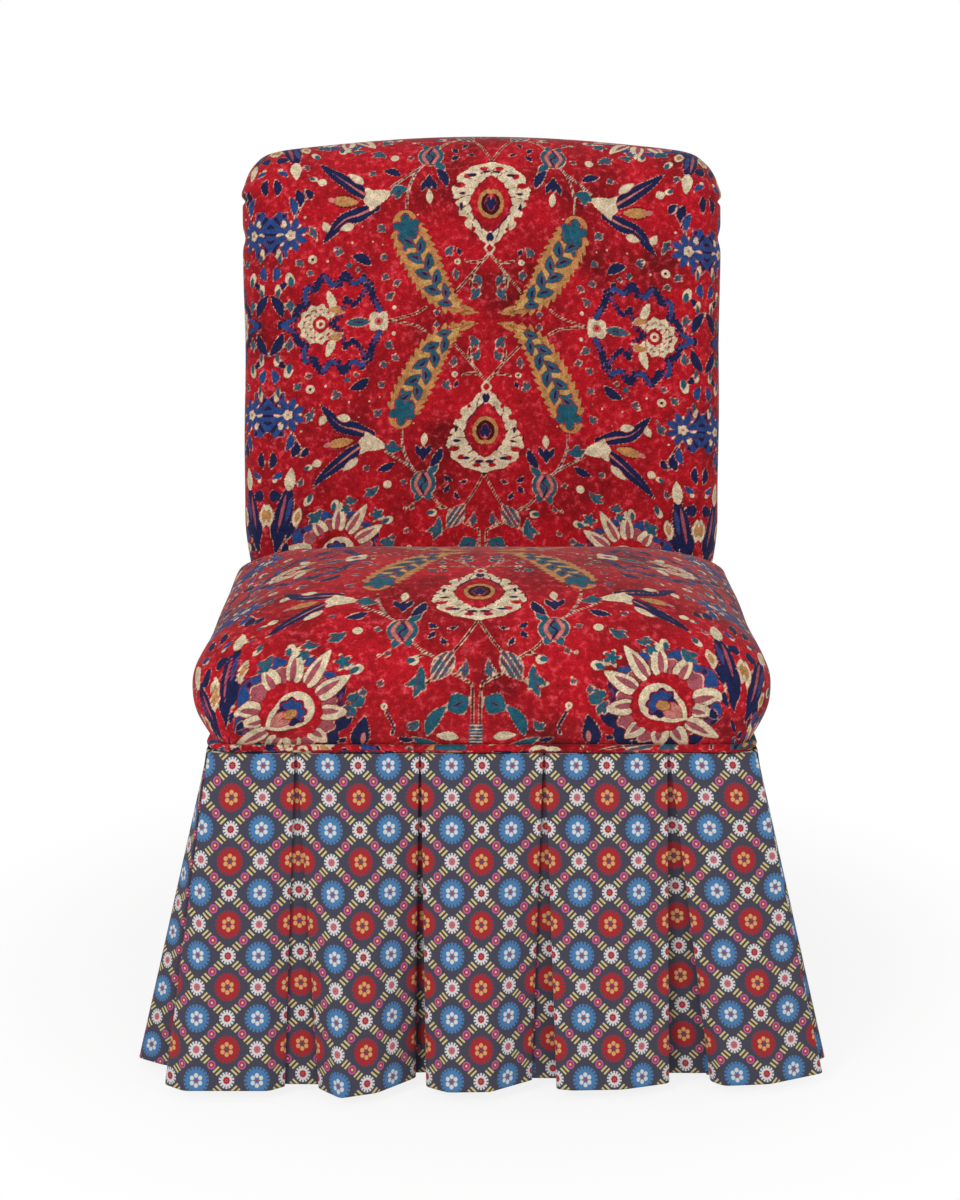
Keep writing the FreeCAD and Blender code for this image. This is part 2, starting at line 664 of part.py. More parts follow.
def rounded_rectangle(z, x_half, low, high, radius):
    """A closed outline of four lines and four quarter arcs, from its front left corner."""
    r = CORNER_LIMIT * min(radius / CORNER_LIMIT, x_half, (high - low) / 2)
    corners = [(-1, -1, low), (1, -1, low), (1, 1, high), (-1, 1, high)]
    edges = []
    for i, (sx, sy, y) in enumerate(corners):
        centre = Vector(sx * (x_half - r), y - sy * r, z)
        first, last = (Vector(sx * r, 0, 0), Vector(0, sy * r, 0))
        if i % 2 == 1:
            first, last = last, first
        middle = Vector(sx * r, sy * r, 0) * math.sqrt(0.5)
        edges.append(Part.Arc(centre + first, centre + middle, centre + last).toShape())
        sx2, sy2, y2 = corners[(i + 1) % 4]
        next_centre = Vector(sx2 * (x_half - r), y2 - sy2 * r, z)
        next_first = Vector(0, sy2 * r, 0) if (i + 1) % 2 == 1 else Vector(sx2 * r, 0, 0)
        edges.append(Part.makeLine(centre + last, next_centre + next_first))
    return Part.Wire(edges)


seat_bulge_z = size["rail_top"] + size["seat_bulge_rise"]
seat_crown_z = size["rail_top"] + size["seat_crown_rise"]
cover_low = size["rail_top"] - size["cover_hem_drop"]
cover_out = size["cover_thickness"] + size["soft_gap"]
seat_rear = rear_y


def seat_form(inward, drop=0.0):
    """The seat from the hem to the crown, drawn in from the velvet's face by inward.

    Below the rails' top the sides are upright, then a quarter sine swells them to the bulge, and
    above it a superellipse closes them to the crown. The crown lies ahead of the middle, and behind it
    the seat falls by a power curve to where it tucks in under the back.
    """
    middle = (front_y + seat_rear) / 2
    x_face = half_width + cover_out - inward
    y_reach = (seat_rear - front_y) / 2 + cover_out - inward
    swell = size["seat_bulge"] - cover_out
    base_radius = size["leg_corner_radius"] + cover_out - inward
    wires = [rounded_rectangle(cover_low - drop, x_face, middle - y_reach, middle + y_reach, base_radius)]
    for i in range(SWELL_BANDS + 1):
        share = i / SWELL_BANDS
        out = swell * math.sin(math.pi / 2 * share)
        wires.append(rounded_rectangle(
            size["rail_top"] + (seat_bulge_z - size["rail_top"]) * share, x_face + out,
            middle - y_reach - out, middle + y_reach + out, base_radius + size["seat_corner_swell"] * share))
    full_x, full_y = x_face + swell, y_reach + swell
    crown_y = middle - size["seat_crown_ahead"]
    crown_z = seat_crown_z - inward
    for i in range(1, DOME_BANDS + 1):
        turn = math.radians(DOME_TURN) * i / DOME_BANDS
        left = math.cos(turn) ** (2 / size["seat_side_fullness"])
        z = seat_bulge_z + (crown_z - seat_bulge_z) * math.sin(turn)
        low = crown_y - (crown_y - middle + full_y) * left
        fallen = (crown_z - z) / size["seat_rear_fall"]
        high = crown_y + (size["seat_rear_run"] - inward) * fallen ** (1 / size["seat_rear_curve"])
        radius = base_radius + size["seat_corner_swell"]
        radius = radius * left + DOME_CORNER * min(full_x * left, (high - low) / 2) * (1 - left)
        wires.append(rounded_rectangle(z, full_x * left, low, high, radius))
    return Part.makeLoft(wires, True, True)


# The back's soft form

back_full_half = half_width + size["back_side_bulge"]
back_shoulder = size["post_length"] + size["back_top_rise"] - size["back_top_roll"]
back_rear_w = size["post_depth"] + size["back_rear_depth"]


def back_section(u, x_half, w_front, w_rear, crown, front_radius, rear_radius):
    """One slice across the back: a crowned front, rolled corners, straight sides and rear."""
    fr = min(front_radius, CORNER_LIMIT / 2 * (w_rear - w_front))
    rr = min(rear_radius, CORNER_LIMIT / 2 * (w_rear - w_front))
    turn = math.sqrt(0.5)
    front_left = on_back(-x_half + fr, u, w_front)
    front_right = on_back(x_half - fr, u, w_front)
    side_front = on_back(x_half, u, w_front + fr)
    side_rear = on_back(x_half, u, w_rear - rr)
    rear_right = on_back(x_half - rr, u, w_rear)
    rear_left = on_back(-x_half + rr, u, w_rear)
    left_rear = on_back(-x_half, u, w_rear - rr)
    left_front = on_back(-x_half, u, w_front + fr)
    return Part.Wire([
        Part.Arc(front_left, on_back(0, u, w_front - crown), front_right).toShape(),
        Part.Arc(front_right, on_back(x_half - fr + fr * turn, u, w_front + fr - fr * turn),
                 side_front).toShape(),
        Part.makeLine(side_front, side_rear),
        Part.Arc(side_rear, on_back(x_half - rr + rr * turn, u, w_rear - rr + rr * turn),
                 rear_right).toShape(),
        Part.makeLine(rear_right, rear_left),
        Part.Arc(rear_left, on_back(-x_half + rr - rr * turn, u, w_rear - rr + rr * turn),
                 left_rear).toShape(),
        Part.makeLine(left_rear, left_front),
        Part.Arc(left_front, on_back(-x_half + fr - fr * turn, u, w_front + fr - fr * turn),
                 front_left).toShape(),
    ])


def back_form(inward):
    """The whole back, drawn in from the velvet's face by inward, running past the seat rails below.

    Its sides swell from the rails over a quarter sine, and its top rolls over a quarter ellipse,
    further at the front than at the rear, then arches a little towards the middle.
    """
    front = -size["back_pad_depth"] + inward
    rear = back_rear_w - inward
    low_half = half_width + cover_out - inward
    full_half = back_full_half - inward
    crown = size["back_crown"]
    fr = size["back_front_radius"] - inward
    rr = size["back_rear_radius"] - inward
    wires = [back_section(-size["rail_height"], low_half, front, rear, crown, fr, rr)]
    for i in range(SWELL_BANDS + 1):
        share = i / SWELL_BANDS
        x_half = low_half + (full_half - low_half) * math.sin(math.pi / 2 * share)
        wires.append(back_section(share * size["back_side_draw"], x_half, front, rear, crown, fr, rr))
    roll_up = size["back_top_roll"] - inward
    for i in range(ROLL_BANDS + 1):
        turn = math.radians(ROLL_TURN) * i / ROLL_BANDS
        inset = (size["back_pad_depth"] - inward) * (1 - math.cos(turn))
        wires.append(back_section(
            back_shoulder + roll_up * math.sin(turn), full_half - ROLL_AT_SIDES * inset,
            front + inset, rear - ROLL_AT_REAR * inset, crown * math.cos(turn), fr, rr))
    x_end = full_half - ROLL_AT_SIDES * inset
    w_low, w_high = front + inset, rear - ROLL_AT_REAR * inset
    last_u = back_shoulder + roll_up * math.sin(turn)
    for narrow, thin in CREST_SLICES:
        rise = size["back_top_arch"] * (1 - narrow ** 2)
        thickness = (w_high - w_low) * thin
        centre = (w_low + w_high) / 2
        wires.append(back_section(last_u + rise, x_end * narrow, centre - thickness / 2,
                                  centre + thickness / 2, CREST_CROWN, fr, rr))
    return Part.makeLoft(wires, True, True)


def level_box(low_z, high_z):
    """A block larger than the chair, for cutting at a height."""
    return Part.makeBox(2 * FAR, 2 * FAR, high_z - low_z, Vector(-FAR, -FAR, low_z))


below_hem = level_box(-FAR, cover_low)
pad_inset = size["cover_thickness"] + size["soft_gap"]
back_outer = back_form(0.0)
back_inner = back_form(size["cover_thickness"])
back_filling = back_form(pad_inset)
back_clear = back_form(-size["soft_gap"])

# Everything behind the back's front edges, wider than the seat, so the seat ends against the back.
behind_front = back_slab(FAR, -FAR, FAR, -size["back_pad_depth"] + size["back_front_radius"], FAR)

seat_outer = seat_form(0.0)
seat_inner = seat_form(size["cover_thickness"], PAST)
seat_filling = seat_form(pad_inset)


def roll_path(inset, z):
    """A U along the rail tops, open at the back: side, front and side, joined by arcs."""
    x = half_width - inset
    y = front_y + inset
    end = post_front_y - size["back_pad_depth"] - size["edge_roll_diameter"]
    r = size["leg_corner_radius"]
    turn = r * (1 - math.sqrt(0.5))
    return Part.Wire([
        Part.makeLine(Vector(-x, end, z), Vector(-x, y + r, z)),
        Part.Arc(Vector(-x, y + r, z), Vector(-x + turn, y + turn, z), Vector(-x + r, y, z)).toShape(),
        Part.makeLine(Vector(-x + r, y, z), Vector(x - r, y, z)),
        Part.Arc(Vector(x - r, y, z), Vector(x - turn, y + turn, z), Vector(x, y + r, z)).toShape(),
        Part.makeLine(Vector(x, y + r, z), Vector(x, end, z)),
    ])


roll_radius = size["edge_roll_diameter"] / 2
roll_line = roll_path(roll_radius, size["rail_top"] + roll_radius)
roll_start = roll_line.Edges[0].Vertexes[0].Point
edge_roll_shape = swept_round(roll_line, roll_start, Vector(0, 1, 0), roll_radius)
keep("seat_edge_roll", solid("seat_edge_roll", edge_roll_shape))

seat_pad_shape = (seat_filling.cut(level_box(-FAR, size["rail_top"])).cut(back_clear).cut(behind_front)
                  .cut(tent(0.0, size["hessian_thickness"], PAST)).cut(edge_roll_shape))
keep("seat_pad", solid("seat_pad", only_solid(seat_pad_shape)))
seat_cover_shape = seat_outer.cut(seat_inner).cut(back_clear).cut(behind_front)
keep("seat_cover", solid("seat_cover", only_solid(seat_cover_shape)))


# Back suspension, padding and covers

web_gap = size["webbing_thickness"]
web_low = stay_low + size["stay_rail_height"] / 2
web_high = size["post_length"] - size["crest_rail_height"] / 4


def back_webbing(name, upright, w_low):
    """Strips on the back rails' or posts' front faces."""
    width = size["webbing_width"]
    strips = []
    if upright:
        low, high = -back_rail_half, back_rail_half
    else:
        low, high = stay_low + size["stay_rail_height"] + width / 2, crest_low - width / 2
    count = int((high - low) // size["back_webbing_pitch"])
    gap = (high - low - count * width) / count
    for i in range(count):
        edge = low + gap / 2 + i * (width + gap)
        if upright:
            strip = Part.makeBox(width, web_gap, web_high - web_low, Vector(edge, w_low, web_low))
        else:
            reach = half_width - size["post_width"] / 4
            strip = Part.makeBox(2 * reach, web_gap, width, Vector(-reach, w_low, edge))
        strip.Placement = back_place
        strips.append(strip)
    return keep(name, solid(name, Part.makeCompound(strips)))


back_webbing("back_webbing_across", False, -web_gap)
back_webbing("back_webbing_upright", True, -2 * web_gap)
back_hessian_front = -2 * web_gap - size["hessian_thickness"]
back_hessian_shape = back_slab(half_width - size["post_width"] / 4, stay_low + size["stay_rail_height"] / 4,
                               size["post_length"] - size["crest_rail_height"] / 8,
                               back_hessian_front, -2 * web_gap)
keep("back_hessian", solid("back_hessian", back_hessian_shape))

# The filling wraps the posts' outsides and the crest rail, and between the posts it starts at the
# lower back rail, so that the seat's springs and hessian run on below it.
frame_zone = back_slab(half_width, -FAR, size["post_length"], back_hessian_front, FAR)
below_foot = back_slab(FAR, -FAR, size["back_pad_foot"], -FAR, FAR)
below_stay = back_slab(half_width, -FAR, stay_low, -FAR, FAR)
back_pad_shape = back_filling.cut(below_foot).cut(below_stay).cut(frame_zone)
keep("back_pad", solid("back_pad", only_solid(back_pad_shape)))

panel_half = back_full_half - size["outside_back_margin"] - size["back_rear_radius"]
panel_top = back_shoulder + size["back_top_roll"] / 3
panel_front_w = size["post_depth"] + size["soft_gap"]
window = back_slab(panel_half + size["soft_gap"], -FAR, panel_top + size["soft_gap"],
                   size["post_depth"] + size["soft_gap"] / 2, FAR)
back_cover_shape = back_outer.cut(back_inner).cut(below_hem).cut(window)
keep("back_cover", solid("back_cover", only_solid(back_cover_shape)))

felt_shape = back_slab(panel_half - size["soft_gap"], size["back_felt_foot"], panel_top - size["soft_gap"],
                       panel_front_w, panel_front_w + size["back_felt_thickness"])
keep("outside_back_felt", solid("outside_back_felt", felt_shape))
panel_w = panel_front_w + size["back_felt_thickness"] + size["soft_gap"]
panel_shape = back_slab(panel_half, -FAR, panel_top, panel_w, back_rear_w).cut(below_hem)
keep("outside_back_cover", solid("outside_back_cover", only_solid(panel_shape)))


# Welt, tacking strip and skirt

strip_top = size["rail_top"] - size["welt_diameter"]
strip_low = strip_top - size["strip_height"]
rear_face_y = (back_origin + through_back * back_rear_w).y + (size["welt_diameter"] / 2) * math.tan(recline)
skirt_top = strip_top + size["strip_height"] / 4


def ring(out, z):
    """The outline round the chair at the welt's level, out from the velvet's face."""
    return rounded_rectangle(z, half_width + cover_out + out, front_y - cover_out - out,
                             rear_face_y + out, size["leg_corner_radius"] + cover_out + out)


def ring_band(out_low, out_high, z_low, z_high):
    """An upright closed band between two outlines."""
    outer = Part.Face(ring(out_high, z_low)).extrude(Vector(0, 0, z_high - z_low))
    inner = Part.Face(ring(out_low, z_low)).extrude(Vector(0, 0, z_high - z_low))
    return outer.cut(inner)


keep("skirt_tack_strip", solid("skirt_tack_strip", only_solid(
    ring_band(size["skirt_gap"] / 4, size["skirt_gap"] / 4 + size["strip_thickness"], strip_low, strip_top))))

welt_radius = size["welt_diameter"] / 2
welt_z = skirt_top + size["soft_gap"] + welt_radius
welt_path = ring(welt_radius + size["soft_gap"], welt_z)
welt_edge = [e for e in welt_path.Edges if e.BoundBox.YMax < front_y and e.BoundBox.XMin < -1
             and e.BoundBox.XMax > 1][0]
welt_shape = swept_round(welt_path, welt_edge.Vertexes[0].Point, Vector(1, 0, 0), welt_radius)
keep("seat_welt", solid("seat_welt", welt_shape))


def offset_path(path, distance):
    """A path moved sideways by distance, mitred at its corners."""
    moved = []
    for i, (x, y) in enumerate(path):
        normals = []
        for a, b in ((i - 1, i), (i, i + 1)):
            if 0 <= a and b < len(path):
                dx, dy = path[b][0] - path[a][0], path[b][1] - path[a][1]
                length = math.hypot(dx, dy)
                normals.append((-dy / length, dx / length))
        nx, ny = sum(n[0] for n in normals), sum(n[1] for n in normals)
        share = nx * normals[0][0] + ny * normals[0][1]
        moved.append((x + nx / share * distance, y + ny / share * distance))
    return moved


def pleated_path(run, pleats, opening, step, fold_out):
    """A cloth seen from above: flat boxes, with a fold behind at each pleat and at both ends.

    The boxes lie at depth 0. At a pleat the cloth turns back one step, runs behind the box, turns
    back another step, passes under the opening, and comes forward the same way.
    """
    under = size["pleat_underlay"]
    path = [(under, step), (0.0, step), (0.0, 0.0)]
    for place in pleats:
        near, far = place - opening / 2, place + opening / 2
        path += [(near, 0.0), (near, step), (near - under, step), (near - under, 2 * step),
                 (far + under, 2 * step), (far + under, step), (far, step), (far, 0.0)]
    path += [(run, 0.0), (run, step), (run - under, step)]
    return [(x, depth - fold_out) for x, depth in path]


def skirt_panel(name, run, count, corner, direction, inward, top_out, flare, near_flare, far_flare):
    """One side of the skirt, from its straight top edge to its flared hem, as cloth of one thickness."""
    layers = 2 * (size["skirt_cloth"] + size["skirt_fold_gap"]) + size["skirt_cloth"]
    step_top = size["skirt_cloth"] + size["skirt_fold_gap"]
    first = run / 2 - (count - 1) / 2 * size["pleat_spacing"]
    places = [first + i * size["pleat_spacing"] for i in range(count)]
    hem_run = run + near_flare + far_flare
    hem_places = [place * hem_run / run for place in places]
    wires = []
    for z, length, pleats, opening, step, out, start in (
            (skirt_top, run, places, step_top, step_top, top_out + layers, 0.0),
            (size["skirt_hem_clearance"], hem_run, hem_places, size["pleat_opening"],
             size["pleat_fold_depth"], top_out + layers + flare, -near_flare)):
        path = pleated_path(length, pleats, opening, step, out)
        half = size["skirt_cloth"] / 2
        outline = offset_path(path, half) + offset_path(path, -half)[::-1]
        points = []
        for along, depth in outline:
            points.append(corner + direction * (along + start) + inward * (depth + half) + Vector(0, 0, z))
        wires.append(Part.makePolygon(points + [points[0]]))
    return keep(name, solid(name, Part.makeLoft(wires, True, True)))


tucked = size["strip_thickness"] + size["skirt_gap"]
side_hem = size["skirt_side_flare"] - size["skirt_corner_gap"]
front_hem = size["skirt_front_flare"] - size["skirt_corner_gap"]
rear_hem = size["skirt_rear_flare"] - size["skirt_corner_gap"]
corner_inset = size["leg_corner_radius"] / 2
x_low = -half_width - cover_out
y_low = front_y - cover_out
width_run = 2 * (half_width + cover_out) - 2 * corner_inset
depth_run = rear_face_y - y_low - 2 * corner_inset
# A pleat's underlay and an end's return lie side by side in each end box.
end_boxes = 2 * (2 * size["pleat_underlay"] + 2 * size["skirt_cloth"] + 2 * size["skirt_fold_gap"])
width_pleats = int((width_run - end_boxes) // size["pleat_spacing"]) + 1
depth_pleats = int((depth_run - end_boxes) // size["pleat_spacing"]) + 1
across, along = Vector(1, 0, 0), Vector(0, 1, 0)

skirt_panel("skirt_front", width_run, width_pleats, Vector(x_low + corner_inset, y_low, 0), across, along,
            tucked, size["skirt_front_flare"], side_hem + corner_inset, side_hem + corner_inset)
skirt_panel("skirt_back", width_run, width_pleats, Vector(-x_low - corner_inset, rear_face_y, 0),
            -1 * across, -1 * along, tucked, size["skirt_rear_flare"],
            side_hem + corner_inset, side_hem + corner_inset)
skirt_panel("skirt_left", depth_run, depth_pleats, Vector(x_low, rear_face_y - corner_inset, 0),
            -1 * along, across, tucked, size["skirt_side_flare"],
            rear_hem + corner_inset, front_hem + corner_inset)
skirt_panel("skirt_right", depth_run, depth_pleats, Vector(-x_low, y_low + corner_inset, 0),
            along, -1 * across, tucked, size["skirt_side_flare"],
            front_hem + corner_inset, rear_hem + corner_inset)


# Dust cover under the webbing, cut away round the legs

def dust_cover():
    margin = size["dust_cover_margin"]
    leg = size["leg_side"] + size["soft_gap"]
    top = rail_bottom - 2 * size["webbing_thickness"]
    x_half = half_width - margin
    low, high = front_y + margin, rear_y - size["rail_inset"] - margin / 2
    plate = Part.makeBox(2 * x_half, high - low, size["dust_cover_thickness"],
                         Vector(-x_half, low, top - size["dust_cover_thickness"]))
    for side in (-1, 1):
        outer = side * (half_width - leg / 2)
        for corner_y, depth in ((front_y, leg), (post_front_y - size["soft_gap"], FAR)):
            notch = Part.makeBox(leg, depth, 2 * PAST + size["dust_cover_thickness"], Vector(
                outer - leg / 2, corner_y, top - size["dust_cover_thickness"] - PAST))
            plate = plate.cut(notch)
    return only_solid(plate)


keep("dust_cover", solid("dust_cover", dust_cover()))


# Checks, then the files

doc.recompute()
bad = [o.Name for o in doc.Objects if "Invalid" in o.State or "Error" in o.State]
if bad:
    raise SystemExit("failed objects: " + ", ".join(bad))
for piece in kept:
    if piece.Shape.isNull() or not piece.Shape.isValid() or not piece.Shape.Solids:
        raise SystemExit("bad shape: " + piece.Label)

os.makedirs("parts", exist_ok=True)
whole = FreeCAD.BoundBox()
for piece in kept:
    piece.Shape.exportStep(os.path.join("parts", piece.Label + ".step"))
    whole.add(piece.Shape.optimalBoundingBox())
    print("%-26s %2d solids %10.0f mm3" % (piece.Label, len(piece.Shape.Solids), piece.Shape.Volume))
print("overall", whole)
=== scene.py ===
import bpy
import json
import math
import numpy as np
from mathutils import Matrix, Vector


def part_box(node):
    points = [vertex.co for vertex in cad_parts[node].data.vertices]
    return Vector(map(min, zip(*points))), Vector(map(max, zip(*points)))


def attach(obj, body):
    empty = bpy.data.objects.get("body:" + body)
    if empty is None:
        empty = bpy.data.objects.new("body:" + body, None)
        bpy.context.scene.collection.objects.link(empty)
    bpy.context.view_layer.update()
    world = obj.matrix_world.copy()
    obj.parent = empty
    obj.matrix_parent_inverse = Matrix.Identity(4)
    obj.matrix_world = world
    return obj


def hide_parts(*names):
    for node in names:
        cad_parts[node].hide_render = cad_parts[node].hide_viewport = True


# Slipper chair: tight seat and reclined back in a carpet-patterned velvet, with a self welt and a
# box-pleated cotton skirt. Shapes and patterns are worked out in millimetres, meshes are in metres.

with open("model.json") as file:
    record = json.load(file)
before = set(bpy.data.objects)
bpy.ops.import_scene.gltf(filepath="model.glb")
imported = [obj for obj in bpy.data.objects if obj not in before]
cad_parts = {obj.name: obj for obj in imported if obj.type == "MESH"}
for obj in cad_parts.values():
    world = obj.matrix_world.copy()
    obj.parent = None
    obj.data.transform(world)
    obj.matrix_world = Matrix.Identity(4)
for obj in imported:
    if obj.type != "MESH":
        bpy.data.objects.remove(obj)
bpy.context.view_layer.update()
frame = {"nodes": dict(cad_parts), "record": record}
mm = 0.001


def boxOf(node):
    # lowest and highest corner of a node, in millimetres
    low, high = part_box(node)
    return [c / mm for c in low], [c / mm for c in high]


# Mesh making

def smooth(low, high, x):
    # 0 below low, 1 above high, an S curve between
    t = np.clip((x - low) / (high - low), 0, 1)
    return t * t * (3 - 2 * t)


def runAlong(points):
    # how far along a polyline each of its points is
    return np.concatenate([[0], np.cumsum(np.linalg.norm(np.diff(points, axis=0), axis=1))])


def evenSteps(points, spacing):
    # places along a polyline, about spacing apart, as shares of its index
    run = runAlong(points)
    wanted = np.linspace(0, run[-1], max(2, int(run[-1] / spacing) + 1))
    return np.interp(wanted, run, np.arange(len(points)))


def hollows(a, b, slow, quick):
    # Tight cloth is never quite even: crossed sines. Each is a height, two sizes, and the slow one's phases.
    height, sizeA, sizeB, phaseA, phaseB = slow
    small, acrossA, acrossB = quick
    return (height * np.sin(a / sizeA + phaseA) * np.sin(b / sizeB + phaseB)
            + small * np.sin(a / acrossA + b / acrossB))


def gridNormals(points, wrapped):
    # outward normals of a grid of points by central differences, across columns first
    if wrapped:
        across = np.roll(points, -1, axis=1) - np.roll(points, 1, axis=1)
    else:
        across = np.gradient(points, axis=1)
    along = np.gradient(points, axis=0)
    normal = np.cross(across, along)
    length = np.linalg.norm(normal, axis=2, keepdims=True)
    return normal / np.maximum(length, 1e-9)


def gridMesh(name, points, wrapped=False, startPole=None, endPole=None, fields=None, uv=None,
             flip=False, keep=None, materials=()):
    # A mesh from rows x columns of points in mm, closed round the columns if wrapped, with a fan to a
    # pole at either end. fields maps an attribute's name to rows x columns x 3 values. keep says which
    # faces stay.
    rows, columns = points.shape[:2]
    verts = points.reshape(-1, 3)
    index = np.arange(rows * columns).reshape(rows, columns)
    if wrapped:
        index = np.concatenate([index, index[:, :1]], axis=1)
    a, b = index[:-1, :-1], index[:-1, 1:]
    c, d = index[1:, 1:], index[1:, :-1]
    quads = np.stack([a, b, c, d], axis=-1).reshape(-1, 4)
    if keep is not None:
        used, quads = np.unique(quads[keep.ravel()], return_inverse=True)
        verts, quads = verts[used], quads.reshape(-1, 4)
    fans = []
    extra = []
    for pole, ring, turned in ((startPole, index[0], True), (endPole, index[-1], False)):
        if pole is not None:
            tip = rows * columns + len(extra)
            extra.append(pole)
            first, second = (ring[1:], ring[:-1]) if turned else (ring[:-1], ring[1:])
            fans.append(np.stack([first, second, np.full(len(first), tip)], axis=-1))
    if extra:
        verts = np.concatenate([verts, np.array(extra, float)])
    if flip:
        quads = quads[:, ::-1]
        fans = [f[:, ::-1] for f in fans]
    mesh = bpy.data.meshes.new(name)
    loops = np.concatenate([quads.ravel()] + [f.ravel() for f in fans])
    counts = np.concatenate([np.full(len(quads), 4)] + [np.full(len(f), 3) for f in fans])
    starts = np.concatenate([[0], np.cumsum(counts)[:-1]])
    mesh.vertices.add(len(verts))
    mesh.vertices.foreach_set("co", (verts * mm).astype(np.float32).ravel())
    mesh.loops.add(len(loops))
    mesh.loops.foreach_set("vertex_index", loops.astype(np.int32))
    mesh.polygons.add(len(counts))
    mesh.polygons.foreach_set("loop_start", starts.astype(np.int32))
    mesh.update(calc_edges=True)
    mesh.validate()
    mesh.shade_smooth()
    for field, values in (fields or {}).items():
        flat = values.reshape(-1, 3)
        if extra:
            flat = np.concatenate([flat, np.repeat(flat[-1:], len(extra), axis=0)])
        layer = mesh.attributes.new(field, "FLOAT_VECTOR", "POINT")
        layer.data.foreach_set("vector", flat.astype(np.float32).ravel())
    if uv is not None:
        layer = mesh.uv_layers.new(name="cloth")
        layer.data.foreach_set("uv", uv.reshape(-1, 2)[loops].astype(np.float32).ravel())
    for material in materials:
        mesh.materials.append(material)
    piece = bpy.data.objects.new(name, mesh)
    bpy.context.scene.collection.objects.link(piece)
    return piece


def thicken(piece, thick, offset):
    solid = piece.modifiers.new("cloth", "SOLIDIFY")
    solid.thickness, solid.offset = thick * mm, offset
    return solid


def dress(piece, slot, *nodes):
    # every piece is on the one body and stands for its CAD nodes
    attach(piece, "root")
    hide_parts(*nodes)


# Materials

def hexColour(text):
    # sRGB hex to linear, with alpha
    parts = [int(text[i:i + 2], 16) / 255 for i in (0, 2, 4)]
    return [p / 12.92 if p <= 0.04045 else ((p + 0.055) / 1.055) ** 2.4 for p in parts] + [1.0]


def newMaterial(name, **shader):
    material = bpy.data.materials.new(name)
    material.use_nodes = True
    principled = material.node_tree.nodes["Principled BSDF"]
    for socket, value in shader.items():
        principled.inputs[socket.replace("_", " ")].default_value = value
    return material


def addNode(material, kind, settings=None, links=None):
    # one node: settings by property or by input, links by input to another node's output socket
    node = material.node_tree.nodes.new("ShaderNode" + kind)
    for key, value in (settings or {}).items():
        if isinstance(key, str) and hasattr(node, key):
            setattr(node, key, value)
        else:
            node.inputs[key].default_value = value
    for key, socket in (links or {}).items():
        material.node_tree.links.new(socket, node.inputs[key])
    return node


def noise(material, place, size, detail, **more):
    # cloudy noise with features of size mm, where place is in metres
    settings = {"Scale": 1 / (size * mm), "Detail": detail, **more}
    return addNode(material, "TexNoise", settings, {"Vector": place}).outputs["Fac"]


def ranged(material, value, fromMin, fromMax, toMin=0.0, toMax=1.0, smoothed=False):
    kind = "SMOOTHSTEP" if smoothed else "LINEAR"
    settings = {"interpolation_type": kind, "From Min": fromMin, "From Max": fromMax, "To Min": toMin,
                "To Max": toMax}
    return addNode(material, "MapRange", settings, {"Value": value}).outputs[0]


def mixed(material, share, under, over):
    # under and over are colours, or sockets that carry one
    node = addNode(material, "Mix", {"data_type": "RGBA"}, {0: share})
    for i, colour in ((6, under), (7, over)):
        if isinstance(colour, list):
            node.inputs[i].default_value = colour
        else:
            material.node_tree.links.new(colour, node.inputs[i])
    return node.outputs[2]


def inked(material, under, text, depth, edge):
    # a colour laid over what is there, wherever depth is above zero, with a soft edge
    return mixed(material, ranged(material, depth, -edge, edge, smoothed=True), under, hexColour(text))


def scaled(material, colour, share):
    return addNode(material, "VectorMath", {"operation": "SCALE"}, {0: colour, "Scale": share}).outputs[0]


def bumped(material, height, strength, distance):
    # distance is in mm
    settings = {"Strength": strength, "Distance": distance * mm}
    return addNode(material, "Bump", settings, {"Height": height}).outputs[0]


class Wire:
    # A number on its way through a material's nodes, so that a pattern's sums read as formulas.

    def __init__(self, material, socket):
        self.material, self.socket = material, socket

    def by(self, operation, *values):
        node = addNode(self.material, "Math", {"operation": operation})
        for put, value in zip(node.inputs, values or (self,)):
            if isinstance(value, Wire):
                self.material.node_tree.links.new(value.socket, put)
            else:
                put.default_value = value
        return Wire(self.material, node.outputs[0])

    def __add__(self, other):
        return self.by("ADD", self, other)

    def __sub__(self, other):
        return self.by("SUBTRACT", self, other)

    def __rsub__(self, other):
        return self.by("SUBTRACT", other, self)

    def __mul__(self, other):
        return self.by("MULTIPLY", self, other)

    def __abs__(self):
        return self.by("ABSOLUTE")


def least(a, b):
    return a.by("MINIMUM", a, b)


def most(a, b):
    return a.by("MAXIMUM", a, b)


def plug(material, **links):
    principled = material.node_tree.nodes["Principled BSDF"]
    for socket, source in links.items():
        material.node_tree.links.new(source, principled.inputs[socket.replace("_", " ")])


# The velvet's pattern, drawn over one quarter of its repeat

repeat = {"halfWidth": 256.0, "halfHeight": 330.0, "step": 0.8, "reach": 5.0, "palmette": 131.0}
gridX, gridV = np.meshgrid(np.arange(0, repeat["halfWidth"] + 1, repeat["step"]),
                           np.arange(0, repeat["halfHeight"] + 1, repeat["step"]))


def ragged(x, v):
    # hand-knotted edges: a small wander of a millimetre or so, made of crossed sines
    a = np.sin(x * 1.9 + 1.3 * np.sin(v * 0.83)) * np.sin(v * 2.3 + 0.7)
    b = np.sin(v * 1.7 + 1.1 * np.sin(x * 0.91) + 2.1) * np.sin(x * 2.6 + 1.9)
    return x + 0.55 * a, v + 0.55 * b


warpX, warpV = ragged(gridX, gridV)
colours = ("navy", "blue", "teal", "ivory", "tan", "pink", "dark", "gold", "dusk")
ink = {name: np.full(gridX.shape, -repeat["reach"]) for name in colours}


def paint(colour, depth):
    # Lays one shape over what is there. depth is the distance in from its edge, in mm. Each colour keeps
    # the depth of what still shows of it. The colour ground takes every other colour off.
    for name in colours:
        if name == colour:
            ink[name] = np.maximum(ink[name], depth)
        else:
            ink[name] = np.minimum(ink[name], -depth)


